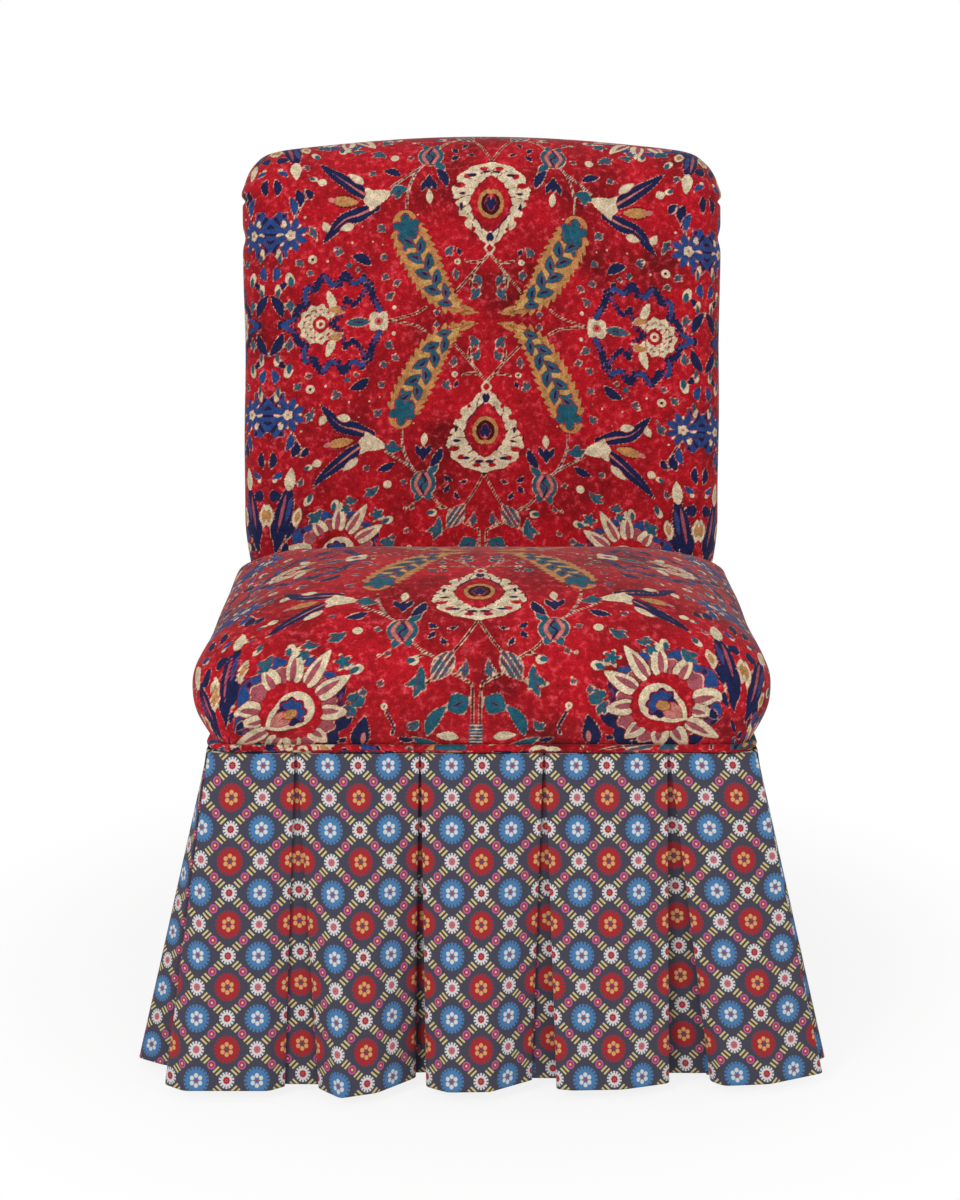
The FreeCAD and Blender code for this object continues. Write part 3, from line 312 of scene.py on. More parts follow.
def outlined(colour, depth, line="ivory", width=1.0):
    paint(line, depth + width)
    paint(colour, depth)


def heading(turn, far=1.0):
    # a step of length far in the direction turn, in degrees
    return far * math.cos(math.radians(turn)), far * math.sin(math.radians(turn))


def local(x, v, turn):
    # the grid seen from a motif's centre, turned so that its length lies along the first axis
    c, s = heading(turn)
    dx, dv = warpX - x, warpV - v
    return dx * c + dv * s, -dx * s + dv * c


def dash(x, v, length, width, turn):
    # a short straight line
    a, b = local(x, v, turn)
    return width / 2 - np.abs(b) - np.maximum(0, np.abs(a) - length / 2)


def polarAt(x, v):
    # distance from a place, and the direction from it
    dx, dv = warpX - x, warpV - v
    return np.hypot(dx, dv), np.arctan2(dv, dx)


def oval(x, v, length, width, turn=0):
    a, b = local(x, v, turn)
    return (1 - np.hypot(2 * a / length, 2 * b / width)) * min(length, width) / 2


def leaf(x, v, length, width, turn, bend=0.0, teeth=0.0, fullest=0.5):
    # A leaf with its middle at x, v: pointed at both ends, widest at the share fullest of its length,
    # bent sideways by bend, with its edges toothed by teeth.
    a, b = local(x, v, turn)
    t = np.clip(a / length + 0.5, 0, 1)
    rise = np.where(t < fullest, t / fullest, (1 - t) / (1 - fullest))
    half = width / 2 * np.sin(math.pi / 2 * rise) ** 0.8
    half = half + teeth * (np.abs((a / 4.5) % 1 - 0.5) * 4 - 1) * np.minimum(1, rise * 3)
    b = b - bend * (1 - (2 * t - 1) ** 2)
    return np.minimum((half - np.abs(b)) * 0.85, length / 2 - np.abs(a))


def splineThrough(points):
    # a smooth line through points, eight steps to a stretch
    line = np.array(points, float)
    if len(line) < 3:
        return line
    held = np.concatenate([2 * line[:1] - line[1:2], line, 2 * line[-1:] - line[-2:-1]])
    t = np.linspace(0, 1, 8, endpoint=False)[:, None]
    parts = []
    for i in range(len(line) - 1):
        p, q, r, s = held[i:i + 4]
        parts.append(0.5 * (2 * q + (r - p) * t + (2 * p - 5 * q + 4 * r - s) * t ** 2
                            + (3 * q - p - 3 * r + s) * t ** 3))
    return np.concatenate(parts + [line[-1:]])


def alongLine(points, curved=True):
    # distance to a line through points, how far along it the nearest place is, and its whole length
    line = splineThrough(points) if curved else np.array(points, float)
    nearest = np.full(gridX.shape, 1e9)
    place = np.zeros(gridX.shape)
    run = 0.0
    for (x1, v1), (x2, v2) in zip(line[:-1], line[1:]):
        length = math.hypot(x2 - x1, v2 - v1)
        if length < 1e-6:
            continue
        ux, uv = (x2 - x1) / length, (v2 - v1) / length
        t = np.clip((warpX - x1) * ux + (warpV - v1) * uv, 0, length)
        gap = np.hypot(warpX - x1 - ux * t, warpV - v1 - uv * t)
        closer = gap < nearest
        nearest = np.where(closer, gap, nearest)
        place = np.where(closer, run + t, place)
        run += length
    return nearest, place, run


def stem(points, core="dark", width=3.6):
    # a pale line with a dark core
    gap, _, _ = alongLine(points)
    paint("ivory", width / 2 - gap)
    paint(core, 0.8 - gap)


def rosette(x, v, radius, lobes, depth, turn=0.0):
    # a scalloped disc
    r, angle = polarAt(x, v)
    return radius + depth * np.abs(np.cos(lobes * (angle - math.radians(turn)) / 2)) - r


def sprinkle(kind, rows):
    # small motifs that repeat one form at listed places: x, v, length, width, turn
    for x, v, length, width, turn in rows:
        if kind == "tealLeaf":
            body = leaf(x, v, length, width * 0.8, turn, bend=width * 0.15, teeth=0.7)
            for lobe in (-1, 1):
                c, s = heading(turn + 75 * lobe, width * 0.3)
                body = np.maximum(body, leaf(x + c, v + s, length * 0.5, width * 0.45, turn + 42 * lobe))
            outlined("teal", body, width=0.9)
            paint("navy", dash(x, v, length * 0.56, 1.4, turn))
        elif kind in ("navy", "blue"):
            bend = width * (0.2 if kind == "navy" else 0.3)
            outlined(kind, leaf(x, v, length, width, turn, bend=bend, teeth=0.8), width=0.9)
        elif kind == "bud":
            outlined("ivory", oval(x, v, length * 0.85, width * 0.75, turn), "dark", 0.5)
            c, s = heading(turn)
            paint("teal", leaf(x - 0.15 * length * c, v - 0.15 * length * s, length * 0.7,
                               width * 0.45, turn + 12))
        elif kind == "dot":
            paint("ivory", oval(x, v, length, width, turn))
        elif kind == "eye":
            for colour, share in (("ivory", 1.0), ("dark", 0.36)):
                paint(colour, oval(x, v, length * share, width * share, turn))
        elif kind == "spark":
            paint("ivory", rosette(x, v, length * 0.22, 5, length * 0.36, turn))
            paint("teal", rosette(x, v, length * 0.12, 5, length * 0.34, turn))


def palmette(v):
    # The flower on the middle line: an ogee collar of ivory lobes round a red eye, which holds a tan
    # ring and a navy heart. A bud and a ringed finial stand towards the mirror line.
    knot = 1.7
    x, y = np.abs(np.round(warpX / knot) * knot), np.round((warpV - v) / knot) * knot
    half = np.interp(y, (-47, -37, -25, -12, 0, 11, 23, 35, 45, 51), (4, 14, 28, 35, 40, 45, 43, 36, 25, 4))
    half = half + 3.4 * np.abs(np.sin(y * math.pi / 15 + 0.9)) - 1.8
    collar = np.minimum.reduce([(half - x) * 0.9, (y + 48) * 0.9, (52 - y) * 0.9])
    hollow = np.interp(y, (-36, -27, -12, 0, 11, 23, 31, 35), (-3, 7, 18.5, 24, 21, 13, 4, -3))
    eye = (hollow - x) * 0.85
    paint("dark", collar + 1.1)
    paint("ivory", collar)
    angle, r = np.arctan2(x, -y), np.hypot(x, y)
    phase = (angle * 8.5 / math.pi + r * 0.05) % 1
    paint("dark", np.minimum(0.7 - np.abs(phase - 0.5) * r * math.pi / 8.5, np.minimum(collar - 1.5, 44 - r)))
    for cx, cy, a, b in ((31, -17, 4.4, 3.2), (36, 22, 6.5, 3.2), (28, 33, 4.4, 3.2), (9, 43, 5.4, 2.6),
                         (19, -29, 2.2, 2.4), (41, 4, 2.6, 1.8)):
        paint("ground", (1 - np.hypot((x - cx) / a, (y - cy) / b)) * 2.6)
    inner = np.minimum.reduce([x - hollow, hollow + 3.4 - x, y + 35, -10 - y])
    paint("navy", inner * 0.9)
    for cx, cy, a, b in ((33, 12, 5, 1.8), (22, 34, 6, 2.0), (6, 38, 6, 1.8), (34, -3, 1.8, 5)):
        paint("navy", (1 - np.hypot((x - cx) / a, (y - cy) / b)) * 2.2)
    paint("dark", eye + 0.9)
    paint("ground", eye)
    ringed = 15 - np.hypot(x, np.where(y < 0, y * 0.88, y * 0.84 + 0.3 * np.maximum(0, 6 - x) * (y > 0)))
    outlined("tan", ringed, "dark", 0.8)
    paint("dark", ringed - 4.2)
    paint("ground", 5.5 - np.hypot(x, y - 5))
    paint("pink", 3.4 - np.hypot(x * 1.3, y - 6.5))
    heart = np.maximum.reduce([3.6 - np.hypot(x, (y + 2) * 0.6), 2.6 - np.hypot(x - 4.6, y - 0.5),
                               2.0 - np.hypot(x - 2.5, (y - 5) * 0.7)])
    outlined("navy", heart, "pink", 0.5)
    outlined("navy", leaf(0, v - 39, 13, 9, 90), "ivory", 1.4)
    finial = 7.4 - np.abs(warpX) - np.abs(warpV - v + 51) * 0.8
    outlined("ivory", finial, "dark", 0.6)
    paint("ground", finial - 3.2)


def arm():
    # The toothed arm that sweeps from the middle out to a star: a flamed tan edge round a gold band,
    # which holds a chain of teal leaves set slantwise in turn.
    path = [(28, 9), (45, 18), (62, 36), (74, 58), (85, 79), (94, 98), (99, 112)]
    gap, place, run = alongLine(path)
    half = np.interp(place, [0, 18, 40, 70, 100, run - 8, run], [4, 11, 16, 19.5, 20, 18, 11])
    teeth = 6.4 * (1 - (place / 9.4 + 0.03 * gap) % 1) - 2.6
    edge = np.minimum(half + teeth - gap, 6)
    paint("dark", edge + 0.8)
    paint("tan", edge)
    band = half * 0.6 + 1.8 * np.sin(place * 0.8) - gap
    paint("gold", np.minimum(band, 4))
    line = splineThrough(path)
    steps = runAlong(line)
    for i, at in enumerate(np.arange(22, steps[-1] - 10, 10.5)):
        cx, cv = (np.interp(at, steps, line[:, k]) for k in (0, 1))
        ax, av = (np.interp(at + 2, steps, line[:, k]) for k in (0, 1))
        ahead = math.degrees(math.atan2(av - cv, ax - cx))
        side = 1 if i % 2 else -1
        c, s = heading(ahead + 90 * side)
        size = min(1.15, 0.75 + at / 110)
        lean = ahead + 34 * side
        shape = leaf(cx + 5.0 * size * c, cv + 5.0 * size * s, 19 * size, 9.5 * size, lean, bend=1.5)
        outlined("teal", np.minimum(shape, band + 3), "dark", 0.5)
        paint("navy", leaf(cx + 4.2 * size * c, cv + 4.2 * size * s, 12 * size, 3.0 * size, lean, bend=1.5))
    for cx, cv, turn in ((20, 6, -3), (24, 11, 22), (38, 9, 10)):
        outlined("tan", leaf(cx, cv, 20, 4.4, turn), "dark", 0.5)
    outlined("teal", rosette(97, 106, 7.5, 5, 8.5, -62), "navy", 1.2)


def splitLeaf():
    # An ivory flower base that opens into two long toothed navy leaves with pink ribs.
    for path, wide in (([(134, 131), (152, 124), (172, 117), (194, 93)], 17),
                       ([(140, 142), (158, 155), (175, 169), (189, 181), (201, 195)], 16)):
        gap, place, run = alongLine(path)
        share = place / run
        half = wide / 2 * np.interp(share, [0, 0.25, 0.6, 0.85, 1], [0.55, 1, 0.85, 0.45, 0.06])
        half = half + 0.9 * (np.abs((place / 4.2) % 1 - 0.5) * 4 - 1)
        outlined("navy", half - gap, "ivory", 0.9)
        paint("pink", np.minimum(1.7 * (1 - share * 1.1), run * 0.75 - place) - gap)
    paint("dark", leaf(170, 140, 34, 14, 8) + 0.7)
    paint("tan", leaf(170, 140, 34, 12, 8, teeth=0.8))
    paint("pink", leaf(184, 142, 12, 6, 20))
    base = np.maximum(leaf(131, 143, 34, 20, -16, fullest=0.72, teeth=0.8),
                      np.maximum(leaf(137, 133, 14, 7, -60), leaf(141, 149, 16, 8, 50)))
    outlined("ivory", base, "dark", 0.6)
    for spot in ((166, 110, 17, 9, -12), (191, 112, 13, 9, 60), (157, 168, 24, 9, 40), (197, 165, 12, 10, 20)):
        outlined("ivory", leaf(*spot, fullest=0.4), "pink", 0.8)


def pomegranate():
    outlined("teal", np.maximum(oval(71, 196, 29, 32), leaf(60, 178, 18, 9, 50)), "ivory", 1.1)
    for turn, far in ((70, 17), (110, 16)):
        c, s = heading(turn)
        outlined("teal", leaf(71 + far * c, 196 + far * s, 13, 8, turn), "ivory", 0.8)
    for dx, bend in ((-6, -5), (7, 5)):
        gap, _, _ = alongLine([(71 + dx * 0.5, 183), (71 + dx + bend * 0.4, 196), (71 + dx * 0.4, 209)])
        outlined("pink", 1.9 - gap, "dark", 0.5)
    gap, _, _ = alongLine([(72, 184), (68, 192), (74, 199), (70, 209)])
    paint("navy", 1.3 - gap)


def medallion():
    # The jagged navy ring round an ivory flower of scalloped petals, with a smaller jagged line towards
    # the middle.
    outer = [(124, 9), (128, 17), (134, 28), (138, 42), (146, 50), (157, 44), (167, 57), (174, 47), (182, 44),
             (192, 56), (199, 47), (202, 40), (213, 43), (214, 31), (212, 24), (223, 19), (224, 9), (240, 0)]
    inner = [(142, 40), (148, 29), (156, 20), (166, 28), (168, 17), (172, 8), (183, 0)]
    for path, wide in ((outer, 4.2), (inner, 2.8)):
        gap, place, _ = alongLine(path, curved=False)
        teeth = 2.2 * (np.abs((place / 5.2) % 1 - 0.5) * 4 - 1)
        outlined("navy", wide + teeth - gap, "ivory", 0.8)
        paint("blue", np.minimum(wide - 3.2 + 1.6 * np.sin(place * 0.13 + 1), 4) - gap)
    outlined("ivory", leaf(183, 27, 26, 10, 68, fullest=0.45, teeth=0.8), "dark", 0.6)
    for turn in (0, 34, 68, 102, 136):
        c, s = heading(turn)
        for far, size in ((17, 12), (10.5, 10)):
            petal = rosette(198 + far * c, far * s, size * 0.46, 5, size * 0.12, turn)
            outlined("ivory", petal, "dark", 0.8)
            paint("ground", oval(198 + far * c, far * s, size * 0.2, size * 0.5, turn))
    outlined("tan", leaf(178, 14, 18, 7, 12, bend=2), "ivory", 1.2)
    outlined("ground", oval(195, 0, 17, 17), "dark", 0.7)
    outlined("ivory", oval(195, 0, 11, 11), "dark", 0.6)
    paint("ground", oval(195, 0, 5, 5))


def diamondFlower():
    outlined("teal", leaf(151, 0, 29, 10, 0, teeth=0.6), "ivory", 1.0)
    paint("navy", leaf(151, 0, 22, 2.4, 0))
    outlined("ivory", rosette(127, 0, 8, 4, 5, 45), "dark", 0.6)
    paint("pink", oval(127, 0, 10, 9))
    paint("ground", oval(127, 0, 5, 5))


def starFlower():
    # A blue daisy beside the side mirror line, with a ribbed blue fan that spreads across that line.
    r, angle = polarAt(238, 104)
    fan = np.minimum(29 - 3 * np.abs(np.sin(angle * 5)) - r, (warpX - 236) * 0.9)
    outlined("blue", fan, "ivory", 0.8)
    paint("navy", np.minimum(fan - 1.5, 0.117 * r * np.sin(angle * 13 + r * 0.05) - 0.2))
    for i in range(8):
        turn = 22.5 + 45 * i
        c, s = heading(turn)
        between = heading(turn + 22.5, 12)
        paint("ivory", leaf(232 + between[0], 104 + between[1], 11, 5.5, turn + 22.5))
        outlined("blue", leaf(232 + 12 * c, 104 + 12 * s, 19, 7.4, turn, fullest=0.6), "navy", 0.6)
    paint("ivory", rosette(232, 104, 4.4, 5, 2.0))
    paint("pink", oval(232, 104, 4, 4))


def sideLeaf():
    # The upright navy leaf by the side mirror line, with its ivory tip and petals.
    body = np.maximum(leaf(236, 234, 92, 20, 79, fullest=0.42, teeth=1.3),
                      np.maximum(leaf(225, 246, 32, 9, 66), leaf(246, 250, 34, 9, 96)))
    outlined("navy", body, "ivory", 0.9)
    paint("blue", leaf(229, 222, 34, 5, 79))
    paint("dusk", leaf(237, 226, 54, 4, 79))
    outlined("ivory", leaf(228, 184, 30, 13, 84, fullest=0.6, teeth=0.7), "dark", 0.6)
    for x, v, length, width, turn in ((219, 232, 26, 11, 76), (253, 230, 30, 12, 92)):
        outlined("ivory", leaf(x, v, length, width, turn), "dark", 0.6)
        paint("tan", leaf(x, v, length * 0.6, width * 0.5, turn))


def lotus():
    # The large flower near the front corners: a scalloped blue ground, mauve scallops, ivory petals
    # with pink hearts, a red ring, and a tilted pale egg round a navy eye.
    x0, v0 = 173, 279
    backing = rosette(x0, v0, 49, 9, 9, 12)
    outlined("navy", backing, "ivory", 0.6)
    cloud = 2.6 * np.sin(warpX * 0.21 + 1) * np.sin(warpV * 0.17)
    paint("blue", np.minimum(backing - 1.5, cloud - (warpV - v0) * 0.05 + (warpX - x0) * 0.03 - 0.6))
    petals = ((-95, 64, 16), (-121, 70, 15), (-149, 64, 16), (178, 53, 16), (132, 48, 17), (90, 48, 17),
              (62, 56, 15), (35, 68, 16), (-8, 58, 17), (-60, 52, 17), (12, 50, 13))
    for turn in (-78, -108, -136, -166, 156, 112, 48, 14, -34):
        c, s = heading(turn)
        shell = rosette(x0 + 34 * c, v0 + 34 * s, 9.4, 5, 1.6, turn)
        outlined("ivory", shell, "dark", 0.5)
        paint("dusk", shell - 1.5)
    for turn, reach, width in petals:
        c, s = heading(turn)
        middle, length = (24 + reach) / 2, reach - 22
        shape = leaf(x0 + c * middle, v0 + s * middle, length, width, turn, fullest=0.36, teeth=0.25)
        outlined("ivory", shape, "dark", 0.8)
        heart = 0.46 * (24 + reach)
        paint("dusk", leaf(x0 + c * heart - s * 1.4, v0 + s * heart + c * 1.4, length * 0.66, width * 0.36,
                           turn, fullest=0.4))
    outlined("ground", rosette(x0, v0, 27, 16, 2.4), "dark", 0.9)
    egg = np.maximum(oval(x0 - 3, v0 - 2, 40, 35, 34), leaf(x0 + 8, v0 + 5, 38, 27, 34))
    outlined("ivory", egg, "dark", 0.8)
    outlined("navy", rosette(x0 - 1, v0 - 1, 11.5, 8, 3), "dark", 0.5)
    paint("blue", np.minimum(rosette(x0 - 1, v0 - 1, 9.5, 8, 3), (x0 - warpX) + (v0 - warpV)))
    outlined("pink", leaf(x0 + 9, v0 + 6, 25, 15, 34), "dark", 0.5)
    outlined("tan", oval(x0 + 1, v0 + 1, 14, 9, 20), "dark", 0.5)
    paint("dark", dash(x0 + 6, v0 + 4, 16, 0.8, 34))


def stripedBud():
    shape = leaf(32, 238, 34, 19, 58, fullest=0.5)
    outlined("teal", shape, "ivory", 1.1)
    _, b = local(32, 238, 58)
    paint("ivory", np.minimum(0.75 - np.abs((b + 20) % 5 - 2.5), shape - 0.8))
    paint("dark", np.minimum(0.4 - np.abs((b + 22.5) % 5 - 2.5), shape - 0.8))


def foot():
    # What stands at the middle of the front edge: twin stems, their band, leaves and bird-like sprigs.
    stem([(4, 330), (4, 262), (10, 253), (22, 247)])
    outlined("teal", leaf(17, 274, 22, 20, 30, teeth=0.8), "ivory", 1.0)
    paint("navy", leaf(17, 274, 14, 2.4, 30))
    gap = np.maximum(np.abs(warpX) - 7, np.abs(warpV - 308) - 14)
    paint("teal", -gap)
    paint("ivory", np.minimum(-gap - 0.6, 0.9 - np.abs((warpV / 4.2) % 1 - 0.5) * 4.2))
    outlined("ivory", leaf(27, 309, 22, 12, -10, fullest=0.4, teeth=0.6), "dark", 0.5)
    outlined("teal", leaf(37, 292, 38, 12, 62, bend=-4, teeth=0.6), "ivory", 0.9)
    outlined("teal", leaf(44, 317, 34, 10, -24, bend=3, teeth=0.6), "ivory", 0.9)
    outlined("navy", leaf(108, 305, 40, 17, 78, fullest=0.65, teeth=1.0), "ivory", 0.9)
    paint("pink", leaf(106, 311, 18, 5, 84))
    gap, _, _ = alongLine([(84, 282), (80, 290), (77, 298), (79, 306)])
    outlined("navy", 1.2 - gap, "ivory", 1.0)


def drawPattern():
    # stems first, so that every flower lies over them
    for points in (
            [(0, 184), (12, 208), (25, 228)], [(2, 72), (12, 60), (24, 46), (42, 26)],
            [(8, 66), (18, 64), (28, 66)], [(19, 50), (21, 38), (17, 30)],
            [(72, 14), (84, 7), (100, 3), (116, 0)], [(214, 148), (222, 134), (228, 122)],
            [(40, 230), (54, 220), (63, 208)], [(38, 247), (52, 258), (66, 256)], [(45, 226), (58, 229)]):
        stem(points)
    stem([(76, 184), (84, 176), (93, 158), (97, 138), (97, 118)], "navy")
    stem([(84, 176), (98, 166), (116, 154)], "navy")
    arm()
    splitLeaf()
    medallion()
    diamondFlower()
    starFlower()
    sideLeaf()
    lotus()
    pomegranate()
    stripedBud()
    foot()
    palmette(repeat["palmette"])
    tulip = np.maximum.reduce([leaf(72, 158, 19, 8, 90), leaf(66, 154, 15, 6, 70), leaf(78, 154, 15, 6, 110)])
    outlined("navy", tulip, "ivory", 0.8)
    paint("ivory", leaf(71, 140, 17, 8, 86))
    sprinkle("tealLeaf", [
        (107, 148, 22, 13, -12), (132, 203, 21, 10, 36), (156, 213, 17, 9, 4), (198, 232, 23, 12, 52),
        (55, 253, 30, 12, 78), (112, 268, 20, 15, 60), (118, 280, 16, 9, 130), (12, 242, 19, 7, 82),
        (13, 43, 15, 8, 60), (16, 28, 18, 9, 128), (39, 50, 13, 7, 84), (46, 77, 14, 8, -50),
        (114, 28, 13, 7, -40), (106, 43, 11, 6, -30), (120, 50, 10, 7, 20), (122, 73, 9, 7, 40),
        (221, 71, 12, 7, 40), (232, 22, 16, 8, 84), (206, 105, 20, 7, 62), (138, 173, 9, 7, 30),
        (60, 7, 8, 6, 90), (94, 193, 8, 6, -20), (84, 224, 9, 5, 70), (175, 82, 11, 9, 10),
        (126, 106, 12, 8, 40), (215, 152, 12, 7, 20), (59, 296, 15, 9, 50), (106, 262, 9, 6, 90),
        (208, 59, 10, 6, 20), (90, 254, 8, 5, 60), (152, 60, 7, 5, 0), (216, 188, 12, 6, 70)])
    sprinkle("navy", [
        (115, 172, 22, 9, 24), (57, 163, 27, 10, 62), (148, 71, 25, 11, 28), (36, 76, 9, 5, 70),
        (42, 190, 11, 6, -40), (24, 194, 10, 4, 20), (44, 203, 11, 6, 60), (31, 212, 11, 5, -60),
        (224, 146, 21, 11, 80), (212, 150, 14, 8, 60), (247, 22, 30, 11, 60), (66, 313, 15, 6, -12),
        (126, 312, 9, 6, 30), (234, 271, 15, 8, 70), (247, 297, 18, 9, 50), (248, 205, 16, 14, 90),
        (150, 320, 8, 5, 20), (240, 44, 16, 7, -50), (222, 290, 12, 7, 60), (250, 160, 22, 9, 84)])
    sprinkle("blue", [
        (231, 137, 22, 9, 76), (250, 60, 18, 9, 100), (243, 178, 14, 7, 30), (253, 316, 16, 8, 90)])
    sprinkle("bud", [
        (60, 233, 14, 13, 170), (112, 240, 16, 13, 200), (175, 218, 17, 12, 250), (206, 211, 20, 12, 60),
        (232, 53, 20, 14, 70), (245, 80, 22, 9, 80), (119, 237, 12, 8, 30), (207, 170, 13, 10, 200),
        (246, 40, 18, 10, 84), (178, 86, 9, 7, 0)])
    sprinkle("dot", [
        (113, 195, 10, 10, 0), (109, 15, 5, 5, 0), (240, 118, 8, 5, 60), (136, 92, 3, 3, 0),
        (124, 88, 2.6, 2.6, 0), (160, 92, 3, 3, 0), (188, 72, 3.4, 3.4, 0), (246, 186, 6, 5, 0),
        (98, 62, 2.4, 2.4, 0), (84, 120, 2.6, 2.6, 0), (148, 110, 2.4, 2.4, 0), (216, 124, 4, 3, 0),
        (133, 250, 2.6, 2.6, 0)])
    sprinkle("eye", [(206, 75, 11, 10, 0), (86, 276, 7, 7, 0), (37, 65, 8, 7, 0), (92, 226, 5, 5, 0)])
    sprinkle("spark", [(125, 232, 17, 12, 0), (162, 224, 14, 10, 20), (163, 66, 9, 9, 0), (98, 82, 8, 8, 30)])
    for name in colours:
        np.clip(ink[name], -repeat["reach"], repeat["reach"], out=ink[name])


drawPattern()
print("velvet pattern drawn")


def folded(value, half):
    # mirrors the cloth about both ends of its half repeat
    turned = np.abs(value) % (2 * half)
    return np.where(turned > half, 2 * half - turned, turned)


def velvetFields(x, v):
    # The pattern's depths at cloth places x, v, three colours to a vector attribute.
    column = folded(x, repeat["halfWidth"]) / repeat["step"]
    row = folded(v, repeat["halfHeight"]) / repeat["step"]
    c0, r0 = np.floor(column).astype(int), np.floor(row).astype(int)
    c0, r0 = np.clip(c0, 0, gridX.shape[1] - 2), np.clip(r0, 0, gridX.shape[0] - 2)
    fc, fr = column - c0, row - r0
    sampled = []
    for name in colours:
        grid = ink[name]
        sampled.append((grid[r0, c0] * (1 - fc) + grid[r0, c0 + 1] * fc) * (1 - fr)
                       + (grid[r0 + 1, c0] * (1 - fc) + grid[r0 + 1, c0 + 1] * fc) * fr)
    return {"inkA": np.stack(sampled[0:3], axis=-1), "inkB": np.stack(sampled[3:6], axis=-1),
            "inkC": np.stack(sampled[6:9], axis=-1)}


# Carpet velvet: printed cotton pile. A soft sheen where it turns away, mottled dye and worn patches scattered
# at random.

velvetLook = {
    "ground": ("B81220", "780C14", "CE505A"),
    "ink": {"navy": "1A2048", "blue": "24457E", "teal": "20586A", "ivory": "D6C4A4", "tan": "B8834E",
            "pink": "C0756C", "dark": "3A1218", "gold": "C09A58", "dusk": "A0505A"},
    "edge": 0.45, "pile": 1.6, "mottle": 7.0, "abrash": 80.0,
}


def velvetMaterial(name):
    look = velvetLook
    material = newMaterial(name, Roughness=0.82, Sheen_Weight=0.12, Sheen_Roughness=0.4, IOR=1.45,
                           Specular_IOR_Level=0.15)
    place = addNode(material, "TexCoord").outputs["Object"]
    abrash, mottle, pile = (noise(material, place, look[key], detail, Roughness=0.6)
                            for key, detail in (("abrash", 3), ("mottle", 3), ("pile", 2)))
    bright, deep, worn = (hexColour(text) for text in look["ground"])
    colour = mixed(material, ranged(material, abrash, 0.42, 0.68), bright, deep)
    colour = mixed(material, ranged(material, mottle, 0.54, 0.86), colour, worn)
    for i, attribute in enumerate(("inkA", "inkB", "inkC")):
        source = addNode(material, "Attribute", {"attribute_name": attribute}).outputs["Vector"]
        split = addNode(material, "SeparateXYZ", links={0: source})
        for depth, kind in zip(split.outputs, colours[3 * i:3 * i + 3]):
            colour = inked(material, colour, look["ink"][kind], depth, look["edge"])
    shade = Wire(material, ranged(material, pile, 0.3, 0.7, 0.62, 1.3))
    shade = shade * Wire(material, ranged(material, mottle, 0.3, 0.7, 0.68, 1.28))
    plug(material, Base_Color=scaled(material, colour, shade.socket),
         Normal=bumped(material, pile, 0.35, 0.6))
    return material


velvet = velvetMaterial("carpet velvet, printed cotton pile")


# Seat: stacked outlines from the hem to the crown

seatLow, seatHigh = boxOf("seat_cover")
seat = {
    "upright": 262.4, "railTop": 355.0, "bulge": 410.0, "crownY": -132.0, "baseRadius": 20.4,
    "fullRadius": 60.4, "rearRadius": 34.0, "tuck": 212.0, "lean": math.tan(math.radians(9)),
    "rearRun": 300.0, "rearFall": 88.0, "rearCurve": 1.6, "fullness": 2.5, "wall": 3.0,
    "rowSpacing": 1.8, "spacings": (1.8, 2.3, 2.3, 5.0, 8.0), "clothAtBulge": 261.0, "stretch": 1.034,
    "offset": 2.5, "twist": 0.02, "eased": (10.0, 230.0, 75.0), "bowed": (4.0, 180.0),
    "hollows": ((1.1, 47, 61, 0.8, 0.4), (0.6, 21, -33)),
    "pull": 0.7, "pullReach": 22.0, "pullFrom": (0, 8), "pullSizes": (5.1, 17, 8.3),
    "hollowsUp": (0, 40), "hollowsEnd": (2.4, 2.9),
}


def seatRings(turns, inward):
    # Ring sizes from the hem up: z, half width, front y, rear y and front corner radius. turns runs 0 to
    # 1 over the upright, 1 to 2 over the swell, 2 to 3 over the dome.
    s = seat
    full, front = seatHigh[0] - inward, seatLow[1] + inward
    swell = seatHigh[0] - s["upright"]
    lower, middle, upper = (np.clip(turns - k, 0, 1) for k in (0, 1, 2))
    out = swell * np.sin(math.pi / 2 * middle) - swell
    left = np.maximum(np.cos(math.pi / 2 * upper), 0) ** (2 / s["fullness"])
    crown = seatHigh[2] - inward
    z = (seatLow[2] + (s["railTop"] - seatLow[2]) * lower + (s["bulge"] - s["railTop"]) * middle
         + (crown - s["bulge"]) * np.sin(math.pi / 2 * upper))
    half = (full + out) * left
    yFront = s["crownY"] - (s["crownY"] - front + out) * left
    fallen = np.maximum(crown - z, 0) / s["rearFall"]
    yRear = s["crownY"] + s["rearRun"] * fallen ** (1 / s["rearCurve"])
    yRear = np.minimum(yRear, s["tuck"] - inward + (z - s["railTop"]) * s["lean"])
    radius = s["baseRadius"] + (s["fullRadius"] - s["baseRadius"]) * middle
    radius = radius * left + 0.8 * np.minimum(half, (yRear - yFront) / 2) * (1 - left)
    return z, half, yFront, yRear, radius


def roundedOutline(columns, half, near, far, nearRadius, farRadius, crown=0.0):
    # Points round rounded rectangles, near to far, and their normals. columns gives, for the right half,
    # a kind (0 near side, 1 near corner, 2 side, 3 far corner, 4 far side) and a share along it. The near
    # side stands out by crown in its middle.
    kind, share = columns
    angle = share * math.pi / 2
    cases = [kind == k for k in range(4)]
    x = np.select(cases, [
        share * (half - nearRadius), half - nearRadius + nearRadius * np.sin(angle), half + 0 * angle,
        half - farRadius + farRadius * np.cos(angle)], (1 - share) * (half - farRadius))
    y = np.select(cases, [
        near - crown * (1 - share ** 2) ** 1.3, near + nearRadius - nearRadius * np.cos(angle),
        near + nearRadius + share * (far - farRadius - near - nearRadius),
        far - farRadius + farRadius * np.sin(angle)], far + 0 * angle)
    nx = np.select(cases, [0, np.sin(angle), 1, np.cos(angle)], 0.0) + 0 * x
    ny = np.select(cases, [-1, -np.cos(angle), 0, np.sin(angle)], 1.0) + 0 * x
    return x, y, nx, ny


